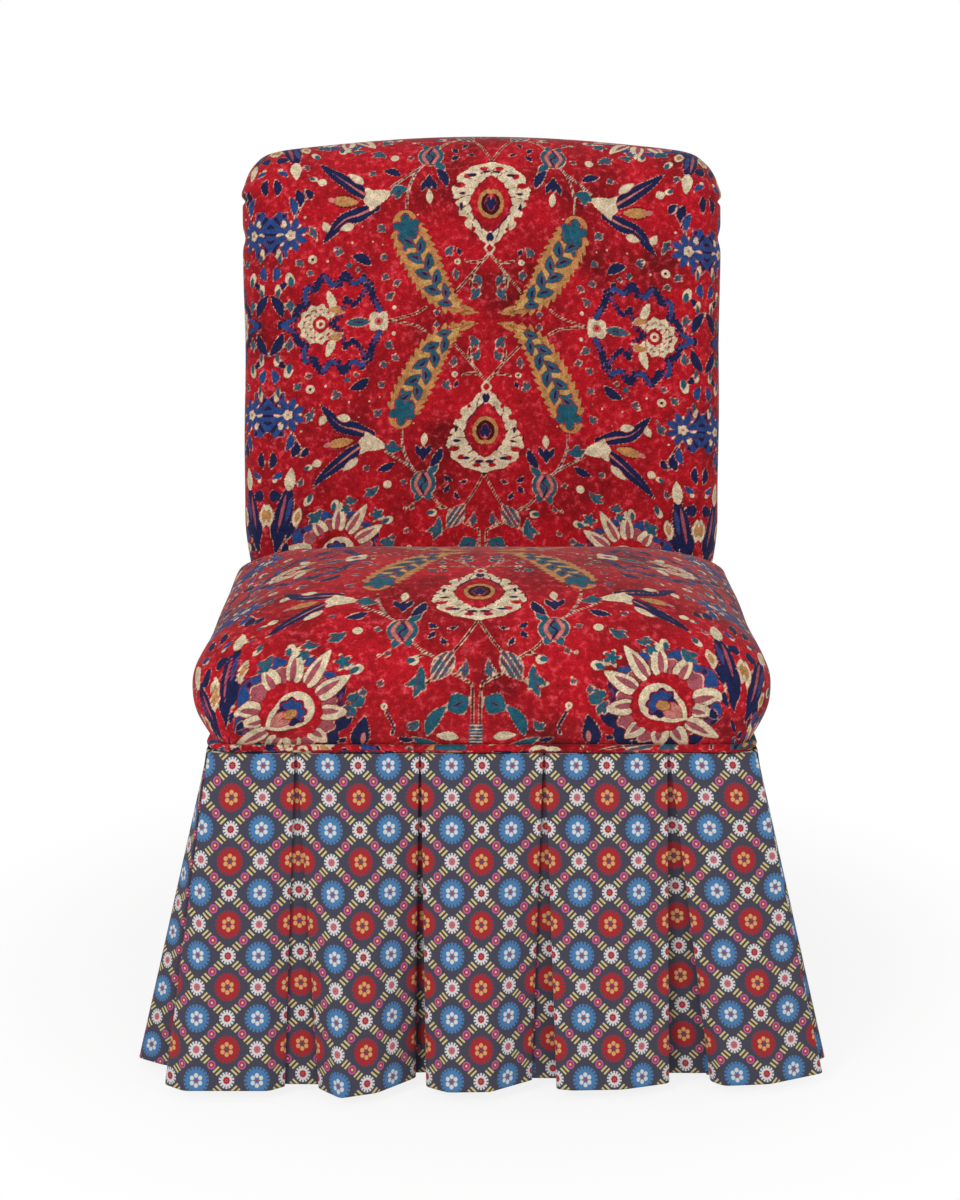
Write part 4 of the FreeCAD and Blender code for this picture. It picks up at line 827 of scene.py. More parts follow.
def seatOutline(z, half, yFront, yRear, radius, columns):
    rear = np.minimum(seat["rearRadius"], 0.8 * np.minimum(half, (yRear - yFront) / 2))
    z, half, yFront, yRear, radius, rear = (a[:, None] for a in (z, half, yFront, yRear, radius, rear))
    x, y, nx, ny = roundedOutline(columns, half, yFront, yRear, radius, rear)
    return np.stack([x, y, z + 0 * x], axis=-1), nx, ny


def halfColumns(lengths, spacings):
    # kinds and shares along the right half of an outline, from its front middle to its rear middle
    kinds, shares = [], []
    for kind, (length, spacing) in enumerate(zip(lengths, spacings)):
        count = max(3, int(length / spacing))
        kinds.append(np.full(count, kind))
        shares.append(np.arange(count) / count)
    kinds.append([len(lengths) - 1])
    shares.append([1.0])
    return np.concatenate(kinds), np.concatenate(shares)


def mirrored(right, normalX, normalY):
    # a whole ring from its right half: right half forwards, then the left half back to the front
    left = right[:, -2:0:-1] * np.array([-1, 1, 1])
    return (np.concatenate([right, left], axis=1), np.concatenate([normalX, -normalX[:, -2:0:-1]], axis=1),
            np.concatenate([normalY, normalY[:, -2:0:-1]], axis=1))


def casing(name, inner, outer, fields, innerPole, outerPole):
    # a cover: its inner side in fewer rows, then the outer, joined round the hem
    plain = np.full(inner.shape, -repeat["reach"])
    fields = {key: np.concatenate([plain, value]) for key, value in fields.items()}
    return gridMesh(name, np.concatenate([inner[::-1], outer]), wrapped=True, startPole=innerPole,
                    endPole=outerPole, fields=fields, materials=[velvet])


def seatPiece():
    s = seat
    fine = np.linspace(0, 3, 1201)
    z, half, yFront, _, _ = seatRings(fine, 0.0)
    places = evenSteps(np.stack([yFront, z], axis=1), s["rowSpacing"])
    rows = np.interp(places, np.arange(len(fine)), fine)[:-1]
    straight = seatHigh[0] - s["fullRadius"]
    side = s["tuck"] - s["rearRadius"] - seatLow[1] - s["fullRadius"]
    frontTurn, rearTurn = (s[key] * math.pi / 2 for key in ("fullRadius", "rearRadius"))
    columns = halfColumns((straight, frontTurn, side, rearTurn, straight), s["spacings"])
    points, nx, ny = mirrored(*seatOutline(*seatRings(rows, 0.0), columns))
    # cloth places: along the middle line from front to rear, and across from the middle to the sides
    run = runAlong(np.stack([yFront, z], axis=1))
    atBulge = np.interp(2.0, fine, run)
    rise = np.interp(rows, fine, run) - atBulge
    drop = np.maximum(-rise, 0)[:, None]
    order = np.argsort(yFront[fine >= 2])
    frontY, frontRun = yFront[fine >= 2][order], (run - atBulge)[fine >= 2][order]
    behind = np.arange(s["crownY"], 330, 4.0)
    fall = seatHigh[2] - s["rearFall"] * ((behind - s["crownY"]) / s["rearRun"]) ** s["rearCurve"]
    rearRun = runAlong(np.stack([behind, fall], axis=1)) + frontRun[-1]
    atRim, _, _ = mirrored(*seatOutline(*seatRings(np.array([2.0]), 0.0), columns))
    below = rise[:, None] < 0
    flatX, flatY = points[..., 0], np.where(below, atRim[..., 1], points[..., 1])
    inFromFront = np.interp(flatY, np.concatenate([frontY, behind[1:]]),
                            np.concatenate([frontRun, rearRun[1:]]))
    across = runAlong(np.stack([half, z], axis=1))
    sideways = (across[-1] - np.interp(rows, fine, across))[:, None]
    wide = seatRings(rows, 0.0)[1][:, None]
    sideRun = np.minimum(sideways, across[-1] - np.interp(2.0, fine, across))
    fuller = 1 + (sideRun / np.maximum(np.minimum(wide, sideRun), 1) - 1) * nx ** 2
    x = flatX * np.where(below, sideRun / seatHigh[0] * nx ** 2 + 1 - nx ** 2, fuller) + nx * drop
    v = s["clothAtBulge"] - inFromFront + drop * np.maximum(-ny, 0)
    # the cloth lies a little off centre, twisted, eased over the front and bowed
    (ease, easeAt, easeWide), (bow, bowWide) = s["eased"], s["bowed"]
    v = v + ease * np.exp(-((v - easeAt) / easeWide) ** 2) + bow * (x / bowWide) ** 2 * np.sign(x)
    fields = velvetFields((x + s["offset"] + s["twist"] * (v - repeat["palmette"])) / s["stretch"], v)
    # slow hollows, and small pulls that fade upwards from the welt
    wave = hollows(points[..., 0], points[..., 1], *s["hollows"])
    above = points[..., 2] - seatLow[2] - s["pullReach"]
    pull = s["pull"] * np.exp(-np.maximum(above, 0) / s["pullReach"])
    small, slow, other = s["pullSizes"]
    pull = pull * (np.sin(x / small + np.sin(x / slow)) + np.sin(x / other + 1))
    fade = smooth(*s["hollowsUp"], above) * (1 - smooth(*s["hollowsEnd"], rows)[:, None])
    lifted = wave * fade - np.abs(pull) * smooth(*s["pullFrom"], above)
    inner, _, _ = mirrored(*seatOutline(*seatRings(np.linspace(0, 2.94, 18), s["wall"]), columns))
    return casing("seat_velvet", inner, points + gridNormals(points, True) * lifted[..., None], fields,
                  (0, s["crownY"], seatHigh[2] - s["wall"]), (0, s["crownY"], seatHigh[2]))


seatVelvet = seatPiece()
dress(seatVelvet, "carpet_velvet", "seat_pad", "seat_cover")
print("seat", len(seatVelvet.data.polygons))


# Back: slices across the reclined posts, then a rolled top

backLow, backHigh = boxOf("back_cover")
back = {
    "origin": (226.0, 355.0), "lean": math.radians(9), "lowHalf": 262.4, "draw": 120.0, "front": -66.0,
    "rear": 53.0, "crown": 14.0, "frontRadius": 46.0, "rearRadius": 14.0, "shoulder": 484.0, "roll": 62.0,
    "arch": 17.0, "ridgeRise": 3.0, "ridgeIn": 14, "rollThin": 9,
    "rollAtSides": 0.6, "rollAtRear": 0.15, "rowSpacing": 1.8, "hiddenSpacing": 4.0,
    "hiddenTo": 70.0, "spacings": (1.8, 2.3, 2.3, 4.0, 8.0), "wall": 3.0, "clothFromFoot": 348.0,
    "hollows": ((1.2, 53, 67, 1.1, 0), (0.5, 23, 29)), "offset": 1.0, "twist": 0.0245, "straightAt": 90.0,
    "stretchBelow": 0.08, "sagRight": (30, 300), "sagLeft": (9, 260),
    # the tuck's height and how it drops outwards, its groove and the ridge above, and the dent's height
    "tuckAt": 486.0, "tuckDrop": (9, 282, 228), "tuckFrom": (222, 262), "groove": (3.6, 3.2),
    "ridge": (1.6, 9, 7), "dentAt": 443.0, "dent": (3.0, 9), "dentFrom": (255, 285),
    "hollowsUp": (60, 120), "hollowsEnd": (1.6, 1.95), "hollowsAside": (300, 360), "foldsEnd": (330, 372),
}


def toChair(x, u, w):
    # from the back's own axes (across, up the slope, through to the rear) to the chair's
    lean = back["lean"]
    return np.stack([x, back["origin"][0] + u * math.sin(lean) + w * math.cos(lean),
                     back["origin"][1] + u * math.cos(lean) - w * math.sin(lean)], axis=-1)


def hemOf(w):
    # how far up the slope the cover's level hem is, at w through the back
    return (backLow[2] - back["origin"][1] + w * math.sin(back["lean"])) / math.cos(back["lean"])


def backSlices(turns, inward):
    # Slice sizes from the hem up: u, half width, front and rear w, crown and its arch. turns runs -1 to 0
    # below the rails, 0 to 1 up to the shoulder, 1 to 2 over the roll, 2 to 3 over the ridge.
    b = back
    full = backHigh[0] - inward
    rising, rolling, closing = (np.clip(turns - k, 0, 1) for k in (0, 1, 2))
    u = b["shoulder"] * rising
    half = b["lowHalf"] + (full - b["lowHalf"]) * np.sin(math.pi / 2 * np.clip(u / b["draw"], 0, 1)) - inward
    turn = rolling * math.pi / 2
    inset = -b["front"] * (1 - np.cos(turn))
    u = u + (b["roll"] - inward) * np.sin(turn) + b["ridgeRise"] * np.sin(math.pi / 2 * closing)
    half = half - b["rollAtSides"] * inset
    front = b["front"] + inward + inset
    rear = b["rear"] - inward - b["rollAtRear"] * inset - b["rollThin"] * np.sin(turn) ** 3
    thin = 1 - closing
    middle, thick = (front + rear) / 2, (rear - front) / 2 * thin
    half = half - b["ridgeIn"] * closing
    return (u, half, middle - thick, middle + thick, b["crown"] * np.cos(turn), b["arch"] * np.sin(turn) ** 2,
            np.clip(-turns, 0, 1))


def backOutline(u, half, front, rear, crown, arch, below, columns):
    # Points round each slice: crowned front, rolled corners, straight sides and rear.
    b = back
    sizes = (u, half, front, rear, crown, arch, below, np.minimum(b["frontRadius"], 0.55 * (rear - front)),
             np.minimum(b["rearRadius"], 0.4 * (rear - front)))
    u, half, front, rear, crown, arch, below, frontRadius, rearRadius = (a[:, None] for a in sizes)
    x, w, nx, ny = roundedOutline(columns, half, front, rear, frontRadius, rearRadius, crown)
    u = u + arch * (1 - (x / np.maximum(half, 1)) ** 2) + hemOf(w) * below
    return np.stack([x, u, w], axis=-1), nx, ny


def backPiece():
    b = back
    fine = np.linspace(-1, 3, 1601)
    u, _, front, _, crown, arch, below = backSlices(fine, 0.0)
    run = runAlong(np.stack([front - crown, u + arch - 20 * below], axis=1))
    foot = np.interp(0.0, fine, run)
    hidden = np.arange(0, foot + b["hiddenTo"], b["hiddenSpacing"])
    start = foot + b["hiddenTo"]
    shown = np.linspace(start, run[-1] - 0.6, int((run[-1] - start) / b["rowSpacing"]))
    rows = np.interp(np.concatenate([hidden, shown]), run, fine)
    straight = backHigh[0] - b["frontRadius"]
    side = b["rear"] - b["front"] - b["frontRadius"] - b["rearRadius"]
    frontTurn, rearTurn = (b[key] * math.pi / 2 for key in ("frontRadius", "rearRadius"))
    columns = halfColumns((straight, frontTurn, side, rearTurn, straight), b["spacings"])
    own, _, _ = mirrored(*backOutline(*backSlices(rows, 0.0), columns))
    # cloth places: up the front's middle line, and round each slice from its middle
    step = np.hypot(np.diff(own[..., 0], axis=1), np.diff(own[..., 2], axis=1))
    count = len(columns[0])
    halfRun = np.concatenate([np.zeros((len(rows), 1)), np.cumsum(step[:, :count - 1], axis=1)], axis=1)
    x = np.concatenate([halfRun, -halfRun[:, -2:0:-1]], axis=1)
    height = (np.interp(rows, fine, run) - foot)[:, None]
    v = b["clothFromFoot"] - height + 0 * x
    # it is stretched low down, sags towards both sides and is a little twisted
    v = v + b["stretchBelow"] * np.maximum(v - repeat["palmette"], 0)
    (right, rightRun), (left, leftRun) = b["sagRight"], b["sagLeft"]
    v = v - np.where(x > 0, right * smooth(0, rightRun, x), left * smooth(0, leftRun, -x))
    fields = velvetFields(x - b["offset"] - b["twist"] * (height - b["straightAt"]), v)
    # hollows, the tuck at each top corner, and a small dent below it
    chairPoints = toChair(own[..., 0], own[..., 1], own[..., 2])
    wave = hollows(own[..., 0], own[..., 1], *b["hollows"])
    aside = np.abs(x)
    beforeRear = 1 - smooth(*b["foldsEnd"], aside)
    (drop, *dropOver), (groove, grooveWide) = b["tuckDrop"], b["groove"]
    ridge, ridgeAt, ridgeWide = b["ridge"]
    level = own[..., 1] - b["tuckAt"] - drop * smooth(*dropOver, np.abs(own[..., 0]))
    tuck = ridge * np.exp(-((level - ridgeAt) / ridgeWide) ** 2) - groove * np.exp(-(level / grooveWide) ** 2)
    tuck = tuck * smooth(*b["tuckFrom"], aside)
    deep, wide = b["dent"]
    dent = -deep * np.exp(-((own[..., 1] - b["dentAt"]) / wide) ** 2) * smooth(*b["dentFrom"], aside)
    fade = smooth(*b["hollowsUp"], own[..., 1]) * (1 - smooth(*b["hollowsEnd"], rows)[:, None])
    fade = fade * (1 - smooth(*b["hollowsAside"], aside))
    lifted = wave * fade + (tuck + dent) * beforeRear
    chairPoints = chairPoints + gridNormals(chairPoints, True) * lifted[..., None]
    inner, _, _ = mirrored(*backOutline(*backSlices(np.linspace(-1, 2.2, 40), b["wall"]), columns))
    innerPoints = toChair(inner[..., 0], inner[..., 1], inner[..., 2])
    return casing("back_velvet", innerPoints, chairPoints, fields, innerPoints[-1].mean(axis=0),
                  chairPoints[-1].mean(axis=0))


backVelvet = backPiece()
dress(backVelvet, "carpet_velvet", "back_pad", "back_cover")
print("back", len(backVelvet.data.polygons))


# Outside back: a felted panel, slip-stitched round its edge

outsideBack = {
    "half": 252.0, "top": 503.0, "rear": 53.0, "proud": 1.8, "edge": 5.0, "spacing": 2.6, "thick": 3.0,
    "hollows": ((0.7, 61, 73, 0.5, 0), (0.4, 27, -35)),
}


def outsideBackPiece():
    o = outsideBack
    hem = hemOf(o["rear"])
    across = np.arange(-o["half"], o["half"] + 0.1, o["spacing"])
    up = np.linspace(hem, o["top"], int((o["top"] - hem) / o["spacing"]))
    x, u = np.meshgrid(across, up)
    inside = np.minimum(o["half"] - np.abs(x), o["top"] - u)
    puff = o["proud"] * np.sqrt(np.clip(inside / o["edge"], 0, 1) * (2 - np.clip(inside / o["edge"], 0, 1)))
    stitch = 0.5 * np.exp(-(inside / 3) ** 2) * np.cos((x + u) * 2 * math.pi / 9)
    wave = hollows(x, u, *o["hollows"]) * np.clip(inside / 60, 0, 1)
    piece = gridMesh("outside_back_velvet", toChair(x, u, o["rear"] + puff + stitch + wave), flip=True,
                     fields=velvetFields(x, back["clothFromFoot"] - u), materials=[velvet])
    thicken(piece, o["thick"], -1)
    return piece


dress(outsideBackPiece(), "carpet_velvet", "outside_back_cover")


# Welt: a cord in bias-cut velvet round the bottom of the seat and back

weltLow, weltHigh = boxOf("seat_welt")
welt = {"diameter": 8.0, "corner": 25.0, "spacing": 1.7, "sides": 20, "bias": math.radians(45)}


def weltPiece():
    r = welt["diameter"] / 2
    half, front, rear = weltHigh[0] - r, weltLow[1] + r, weltHigh[1] - r
    z = (weltLow[2] + weltHigh[2]) / 2
    c = welt["corner"]
    line = []
    for x, y, start in ((half - c, front + c, -90), (half - c, rear - c, 0), (c - half, rear - c, 90),
                        (c - half, front + c, 180)):
        turn = np.radians(start + np.linspace(0, 90, 25))
        line.append(np.stack([x + c * np.cos(turn), y + c * np.sin(turn)], axis=1))
    line = np.concatenate(line + [line[0][:1]])
    at = evenSteps(line, welt["spacing"])[:-1]
    path = np.stack([np.interp(at, np.arange(len(line)), line[:, k]) for k in (0, 1)], axis=1)
    ahead = np.roll(path, -1, axis=0) - np.roll(path, 1, axis=0)
    ahead = ahead / np.linalg.norm(ahead, axis=1, keepdims=True)
    out = np.stack([ahead[:, 1], -ahead[:, 0]], axis=1)
    run = np.arange(len(path)) * welt["spacing"]
    angle = np.linspace(0, 2 * math.pi, welt["sides"], endpoint=False)
    size = r * (1 + 0.025 * np.sin(run / 9.0) + 0.02 * np.sin(run / 3.7))[:, None]
    points = np.stack([path[:, :1] + out[:, :1] * size * np.cos(angle),
                       path[:, 1:] + out[:, 1:] * size * np.cos(angle),
                       z + size * np.sin(angle)], axis=-1)
    points = np.concatenate([points, points[:1]])
    girth = (angle * r)[None, :] + 0 * points[..., 0]
    run = np.concatenate([run, [run[-1] + welt["spacing"]]])[:, None]
    c, s = math.cos(welt["bias"]), math.sin(welt["bias"])
    fields = velvetFields(60 + run * c - girth * s, 40 + run * s + girth * c)
    return gridMesh("welt_velvet", points, wrapped=True, fields=fields, flip=True, materials=[velvet])


dress(weltPiece(), "carpet_velvet", "seat_welt")
print("welt and outside back")


# Skirt: four panels of lined cotton in box pleats, flared to the hem

skirtTop, skirtFoot = boxOf("skirt_front")[1][2], boxOf("skirt_front")[0][2]
skirtCloth = {
    "pitchAcross": 60.2, "pitchDown": 63.5, "firstRow": 11.5, "spacing": 1.9, "rowSpacing": 2.4,
    "pleatSpacing": 121.0, "fold": 30.0, "layer": 2.1, "thick": 1.3,
    "tightBend": 0.8, "softBend": 3.6, "leastTuck": 4.0, "hemWave": (1.2, 61),
}


def pleatedPath(boxes, deep, returns):
    # A cloth seen from above, as points across and inwards. Each box is four points from lip to lip.
    # Behind each pleat the cloth folds back under both lips and crosses the gap deep behind the front.
    # returns are the two ends' own points, behind the first and last box.
    s = skirtCloth
    path = list(returns[0])
    for box, following, depth in zip(boxes, boxes[1:] + [None], list(deep) + [None]):
        path += box
        if following is None:
            break
        (near, nearBack), (far, farBack) = box[-1], following[0]
        hidden = 4 * s["fold"] + 5 * s["layer"] - (far - near) - 2 * depth + nearBack + farBack
        tuck = max(s["leastTuck"], hidden / 4)
        nearStep, farStep = (nearBack + depth) / 2, (farBack + depth) / 2
        path += [(near, nearStep), (near - tuck, nearStep), (near - tuck, depth),
                 (far + tuck, depth), (far + tuck, farStep), (far, farStep)]
    return np.array(path + list(returns[1]), float)


def spread(path, counts):
    # each stretch of a path cut into its own number of steps
    parts = [path[i] + (path[i + 1] - path[i]) * (np.arange(n) / n)[:, None] for i, n in enumerate(counts)]
    return np.concatenate(parts + [path[-1:]])


def softened(values, sigma, spacing):
    # rounds a path's corners by a running mean with a bell-shaped weight, its ends held
    reach = max(1, int(3 * sigma / spacing))
    weight = np.exp(-0.5 * (np.arange(-reach, reach + 1) * spacing / sigma) ** 2)
    before, after = 2 * values[:1] - values[reach:0:-1], 2 * values[-1:] - values[-2:-2 - reach:-1]
    held = np.concatenate([before, values, after])
    return np.stack([np.convolve(held[:, k], weight / weight.sum(), mode="valid") for k in (0, 1)], axis=1)


def straightBoxes(low, high, count):
    # the boxes at the skirt's top edge: flat, and lip to lip
    s = skirtCloth
    centres = [(i - (count - 1) / 2) * s["pleatSpacing"] for i in range(count)]
    starts = [low] + [c + s["layer"] / 2 for c in centres]
    ends = [c - s["layer"] / 2 for c in centres] + [high]
    return [[(a, 0), (a + 0.22 * (b - a), 0), (a + 0.7 * (b - a), 0), (b, 0)] for a, b in zip(starts, ends)]


def skirtPanel(name, top, hem, flare, place):
    # One side. top and hem are its boxes, the depth of the cloth in its pleats, and its ends' returns.
    # place turns across and inwards from the top edge into chair x, y.
    s = skirtCloth
    count = len(hem["boxes"]) - 1
    topPath = pleatedPath(top["boxes"], [2 * s["layer"]] * count, top["returns"])
    hemPath = pleatedPath(hem["boxes"], hem["deep"], hem["returns"])
    lengths = [np.linalg.norm(np.diff(path, axis=0), axis=1) for path in (topPath, hemPath)]
    counts = np.maximum(2, np.round(np.maximum(*lengths) / s["spacing"])).astype(int)
    topLine = softened(spread(topPath, counts), s["tightBend"], s["spacing"])
    hemLine = softened(spread(hemPath, counts), s["softBend"], s["spacing"])
    t = np.linspace(0, 1, int((skirtTop - skirtFoot) / s["rowSpacing"]))[:, None, None]
    points = topLine * (1 - t) + hemLine * t
    # Cloth places run along each row. Every inner box, and what each pleat hides, is two pitches.
    # The end boxes keep their own width, which grows to the hem as the corner is cut on a slant.
    steps = np.linalg.norm(np.diff(points, axis=1), axis=2)
    corner = np.concatenate([[0], np.cumsum(counts)])
    first, perBox, perPleat = len(hem["returns"][0]), 4, 6
    lips = []
    for i in range(count + 1):
        lip = first + (perBox + perPleat) * i
        lips += [corner[lip], corner[lip + perBox - 1]]
    for a, b in zip(lips[1:-1], lips[2:]):
        if b != lips[-1]:
            steps[:, a:b] *= 2 * s["pitchAcross"] / steps[:, a:b].sum(axis=1, keepdims=True)
    across = np.concatenate([np.zeros((len(t), 1)), np.cumsum(steps, axis=1)], axis=1)
    across = across - across[:, lips[1]:lips[1] + 1] - (count - 1) * s["pitchAcross"]
    slope = math.hypot(skirtTop - skirtFoot, flare)
    down = slope * t[..., 0] + 0 * across
    x, depth = points[..., 0], points[..., 1] - flare * t[..., 0]
    wave, wide = s["hemWave"]
    z = skirtTop - (skirtTop - skirtFoot) * t[..., 0] + wave * np.sin(x / wide + 1) * t[..., 0] ** 2
    cx, cy = place(x, depth)
    piece = gridMesh(name, np.stack([cx, cy, z], axis=-1), uv=np.stack([across, down], axis=-1), flip=True,
                     materials=[skirtCotton, skirtLining])
    thicken(piece, s["thick"], -1).material_offset = 1
    widths = np.linalg.norm(np.diff(points, axis=1), axis=2).sum(axis=1)
    return piece, (widths.max() * mm, slope * mm), widths.mean() * slope * mm * mm


# Skirt cloth: a closely set lattice of rosettes and scalloped discs, printed on slate

clothLook = {
    "ground": "3D3E4C", "thread": "4B4758", "blue": "4A7CAC", "red": "A8242C", "white": "D6D4D2",
    "pink": "C4606E", "dusty": "9A4A58", "gold": "D2A468", "slate": "4A4A6E", "yellow": "CFC084",
    "magenta": "BE5A96", "brown": "443640", "crimson": "A42A48", "edge": 0.35, "squat": 0.89,
}


def cottonMaterial():
    look, pitch, drop = clothLook, skirtCloth["pitchAcross"], skirtCloth["pitchDown"]
    material = newMaterial("skirt cotton, printed lattice", Roughness=0.85, Sheen_Weight=0.1,
                           Specular_IOR_Level=0.25)
    place = addNode(material, "UVMap", {"uv_map": "cloth"}).outputs["UV"]
    split = addNode(material, "SeparateXYZ", links={0: place})
    across = Wire(material, split.outputs[0]) * (1 / pitch)
    down = (Wire(material, split.outputs[1]) - skirtCloth["firstRow"]) * (1 / drop)

    def offCentre(value, size, shift):
        # signed distance to the middle of a row's nearest cell
        return ((value + shift).by("FRACT") - 0.5) * size

    def polar(x, y):
        tall = y * look["squat"]
        return (x * x + tall * tall).by("SQRT"), x.by("ARCTAN2", x, tall)

    def site(shiftAcross, shiftDown):
        return polar(offCentre(across, pitch, shiftAcross), offCentre(down, drop, shiftDown))

    def petals(r, angle, count, far, size):
        # count round petals with their middles far out
        part = 2 * math.pi / count
        turned = ((angle * (1 / part) + 0.5).by("FRACT") - 0.5) * part
        px, py = r * turned.by("COSINE") - far, r * turned.by("SINE")
        return size - (px * px + py * py).by("SQRT")

    weave = addNode(material, "TexNoise", {"Scale": 0.9, "Detail": 2}, {"Vector": place}).outputs["Fac"]
    layers = [mixed(material, weave, hexColour(look["ground"]), hexColour(look["thread"]))]

    def lay(text, depth):
        layers.append(inked(material, layers[-1], look[text], depth.socket, look["edge"]))

    # scalloped discs with a small flower, and rosettes between them
    for shifts, disc, flower, dot in (((0.0, 0.5), "blue", "white", "dusty"),
                                      ((0.5, 0.0), "red", "gold", "slate")):
        r, angle = site(*shifts)
        tips = (angle * 20).by("COSINE") + 0.45
        lay(disc, least(most(10.2 - r, tips), 12.7 - r))
        lay(flower, petals(r, angle, 6, 4.7, 2.05))
        lay(dot, 1.7 - r)
    for shifts, middle, inner in (((0.5, 0.5), "red", "crimson"), ((0.0, 0.0), "pink", "dusty")):
        r, angle = site(*shifts)
        clubs = most((angle * 14).by("COSINE") * 0.8 + 0.3, 5.6 - r)
        lay("white", least(clubs, 7.7 - r))
        lay(middle, petals(r, angle, 8, 2.3, 1.25))
        lay(inner, 1.1 - r)
    # pairs of bars lie across the slanting lines from rosette to rosette, each side of a ringed dot
    hx, hy = offCentre(across * 2, pitch / 2, 0.0), offCentre(down * 2, drop / 2, 0.0)
    turn = 2 * math.pi
    slant = ((across * -turn).by("SINE") * (down * turn).by("SINE")).by("SIGN")
    ahead, aside = (hy - hx * slant) * math.sqrt(0.5), (hy + hx * slant) * math.sqrt(0.5)
    fromPair = abs(abs(ahead) - 8.6)
    lay("brown", least(3.2 - fromPair, 3.8 - abs(aside)))
    lay("yellow", least(1.0 - abs(fromPair - 2.0), 4.0 - abs(aside)))
    r, angle = polar(hx, hy)
    for text, size in (("magenta", 4.1), ("crimson", 2.7), ("yellow", 1.2)):
        lay(text, size - r)
    threads = addNode(material, "TexNoise", {"Scale": 2.4, "Detail": 1}, {"Vector": place}).outputs["Fac"]
    toned = scaled(material, layers[-1], ranged(material, threads, 0.3, 0.7, 0.84, 1.12))
    plug(material, Base_Color=toned, Normal=bumped(material, threads, 0.2, 0.3))
    return material


def plainCloth(name, tones, weavePitch, roughness=0.9):
    # plain woven cloth: crossed threads shade it and stand up a little
    material = newMaterial(name, Roughness=roughness, Specular_IOR_Level=0.2)
    weave = noise(material, addNode(material, "TexCoord").outputs["Object"], weavePitch, 2)
    plug(material, Base_Color=mixed(material, weave, hexColour(tones[0]), hexColour(tones[1])),
         Normal=bumped(material, weave, 0.3, 0.5))
    return material


skirtCotton = cottonMaterial()
skirtLining = plainCloth("skirt lining, unbleached cotton", ("CFC4AE", "DDD4C2"), 1.2)

flare = {"front": 36.0, "rear": 34.0, "side": 82.0}
frontEdge = boxOf("skirt_front")[0][1] + flare["front"]
rearEdge = boxOf("skirt_back")[1][1] - flare["rear"]
sideEdge = boxOf("skirt_right")[1][0] - flare["side"]
sideMiddle = (boxOf("skirt_right")[0][1] + boxOf("skirt_right")[1][1]) / 2

# Points are across, then inwards from the hem's front line: below zero stands further out.
acrossTop = {"boxes": straightBoxes(-268, 268, 4), "returns": ([(-232, 9), (-264, 9)], [(264, 9), (232, 9)])}
alongTop = {"boxes": straightBoxes(-291, 291, 4),
            "returns": ([(-268, 16), (-286, 12)], [(286, 12), (268, 16)])}
acrossTop["boxes"][0][0] = (-268, 6)
acrossTop["boxes"][-1][-1] = (268, 6)
frontHem = {
    "boxes": [[(-318, 9), (-296, -6), (-212, -3), (-196, 8)], [(-164, 5), (-140, -18), (-104, -7), (-66, 26)],
              [(-56, 5), (-34, -9), (8, -9), (51, 18)], [(74, -2), (90, -5), (140, -1), (188, 15)],
              [(229, 20), (242, 9), (288, 12), (345, 35)]],
    "deep": (13, 37, 22, 38), "returns": ([(-284, 26), (-314, 24)], [(342, 50), (314, 54)])}
rearHem = {
    "boxes": [[(-322, 20), (-290, 2), (-232, -3), (-202, 8)], [(-176, 8), (-150, -8), (-96, -6), (-66, 10)],
              [(-52, 6), (-28, -8), (20, -6), (56, 8)], [(74, 8), (96, -6), (150, -8), (184, 6)],
              [(210, 8), (236, -4), (288, 2), (322, 20)]],
    "deep": (24, 30, 26, 28), "returns": ([(-290, 38), (-318, 34)], [(318, 34), (290, 38)])}
sideHem = {
    "boxes": [[(-286, 27), (-269, 0), (-214, 2), (-192, 10)], [(-166, 8), (-140, -4), (-90, 0), (-62, 12)],
              [(-50, 8), (-26, -3), (22, 0), (56, 10)], [(72, 8), (98, -2), (148, 0), (176, 9)],
              [(200, 10), (224, 0), (276, 0), (304, 14)]],
    "deep": (26, 30, 26, 28), "returns": ([(-294, 84), (-292, 46)], [(306, 50), (300, 88)])}

panels = [
    ("front", acrossTop, frontHem, "front", lambda x, d: (x, frontEdge + d)),
    ("back", acrossTop, rearHem, "rear", lambda x, d: (-x, rearEdge - d)),
    ("right", alongTop, sideHem, "side", lambda x, d: (sideEdge - d, sideMiddle + x)),
    ("left", alongTop, sideHem, "side", lambda x, d: (d - sideEdge, sideMiddle + x)),
]
for side, top, hem, way, place in panels:
    node = "skirt_" + side
    panel, flat, area = skirtPanel(node + "_cloth", top, hem, flare[way], place)
    if side == "left":
        # the left side is the right one mirrored, so its faces are turned back outwards
        panel.data.flip_normals()
    dress(panel, "skirt_cloth", node)
print("skirt")


# Dust cover: black cambric stapled under the webbing, notched round the legs

dust = {"cell": 9.0, "notch": 46.0, "rearNotch": 36.0, "sag": 2.5, "thick": 0.8}


def dustCover():
    low, high = boxOf("dust_cover")
    x = np.linspace(low[0], high[0], int((high[0] - low[0]) / dust["cell"]))
    y = np.linspace(low[1], high[1], int((high[1] - low[1]) / dust["cell"]))
    gx, gy = np.meshgrid(x, y)
    midX, midY = (gx[1:, 1:] + gx[:-1, :-1]) / 2, (gy[1:, 1:] + gy[:-1, :-1]) / 2
    corner = np.abs(midX) > high[0] - dust["notch"] + 8
    shown = ~(corner & ((midY < low[1] + dust["notch"] - 8) | (midY > high[1] - dust["rearNotch"])))
    alongY = (gy - (low[1] + high[1]) / 2) / (high[1] - low[1])
    sag = dust["sag"] * np.cos(gx / high[0] * math.pi / 2) * np.cos(alongY * math.pi)
    z = high[2] - sag - 0.5 * np.abs(np.sin(gx / 8) * np.sin(gy / 31))
    piece = gridMesh("dust_cover_cloth", np.stack([gx, gy, z], axis=-1), keep=shown,
                     materials=[plainCloth("black cambric", ("0E0E10", "1A1A1D"), 1.0)])
    thicken(piece, dust["thick"], 0)
    return piece


dustPiece = dustCover()
dress(dustPiece, "black_cambric", "dust_cover")


# Frame, springs and inner cloths

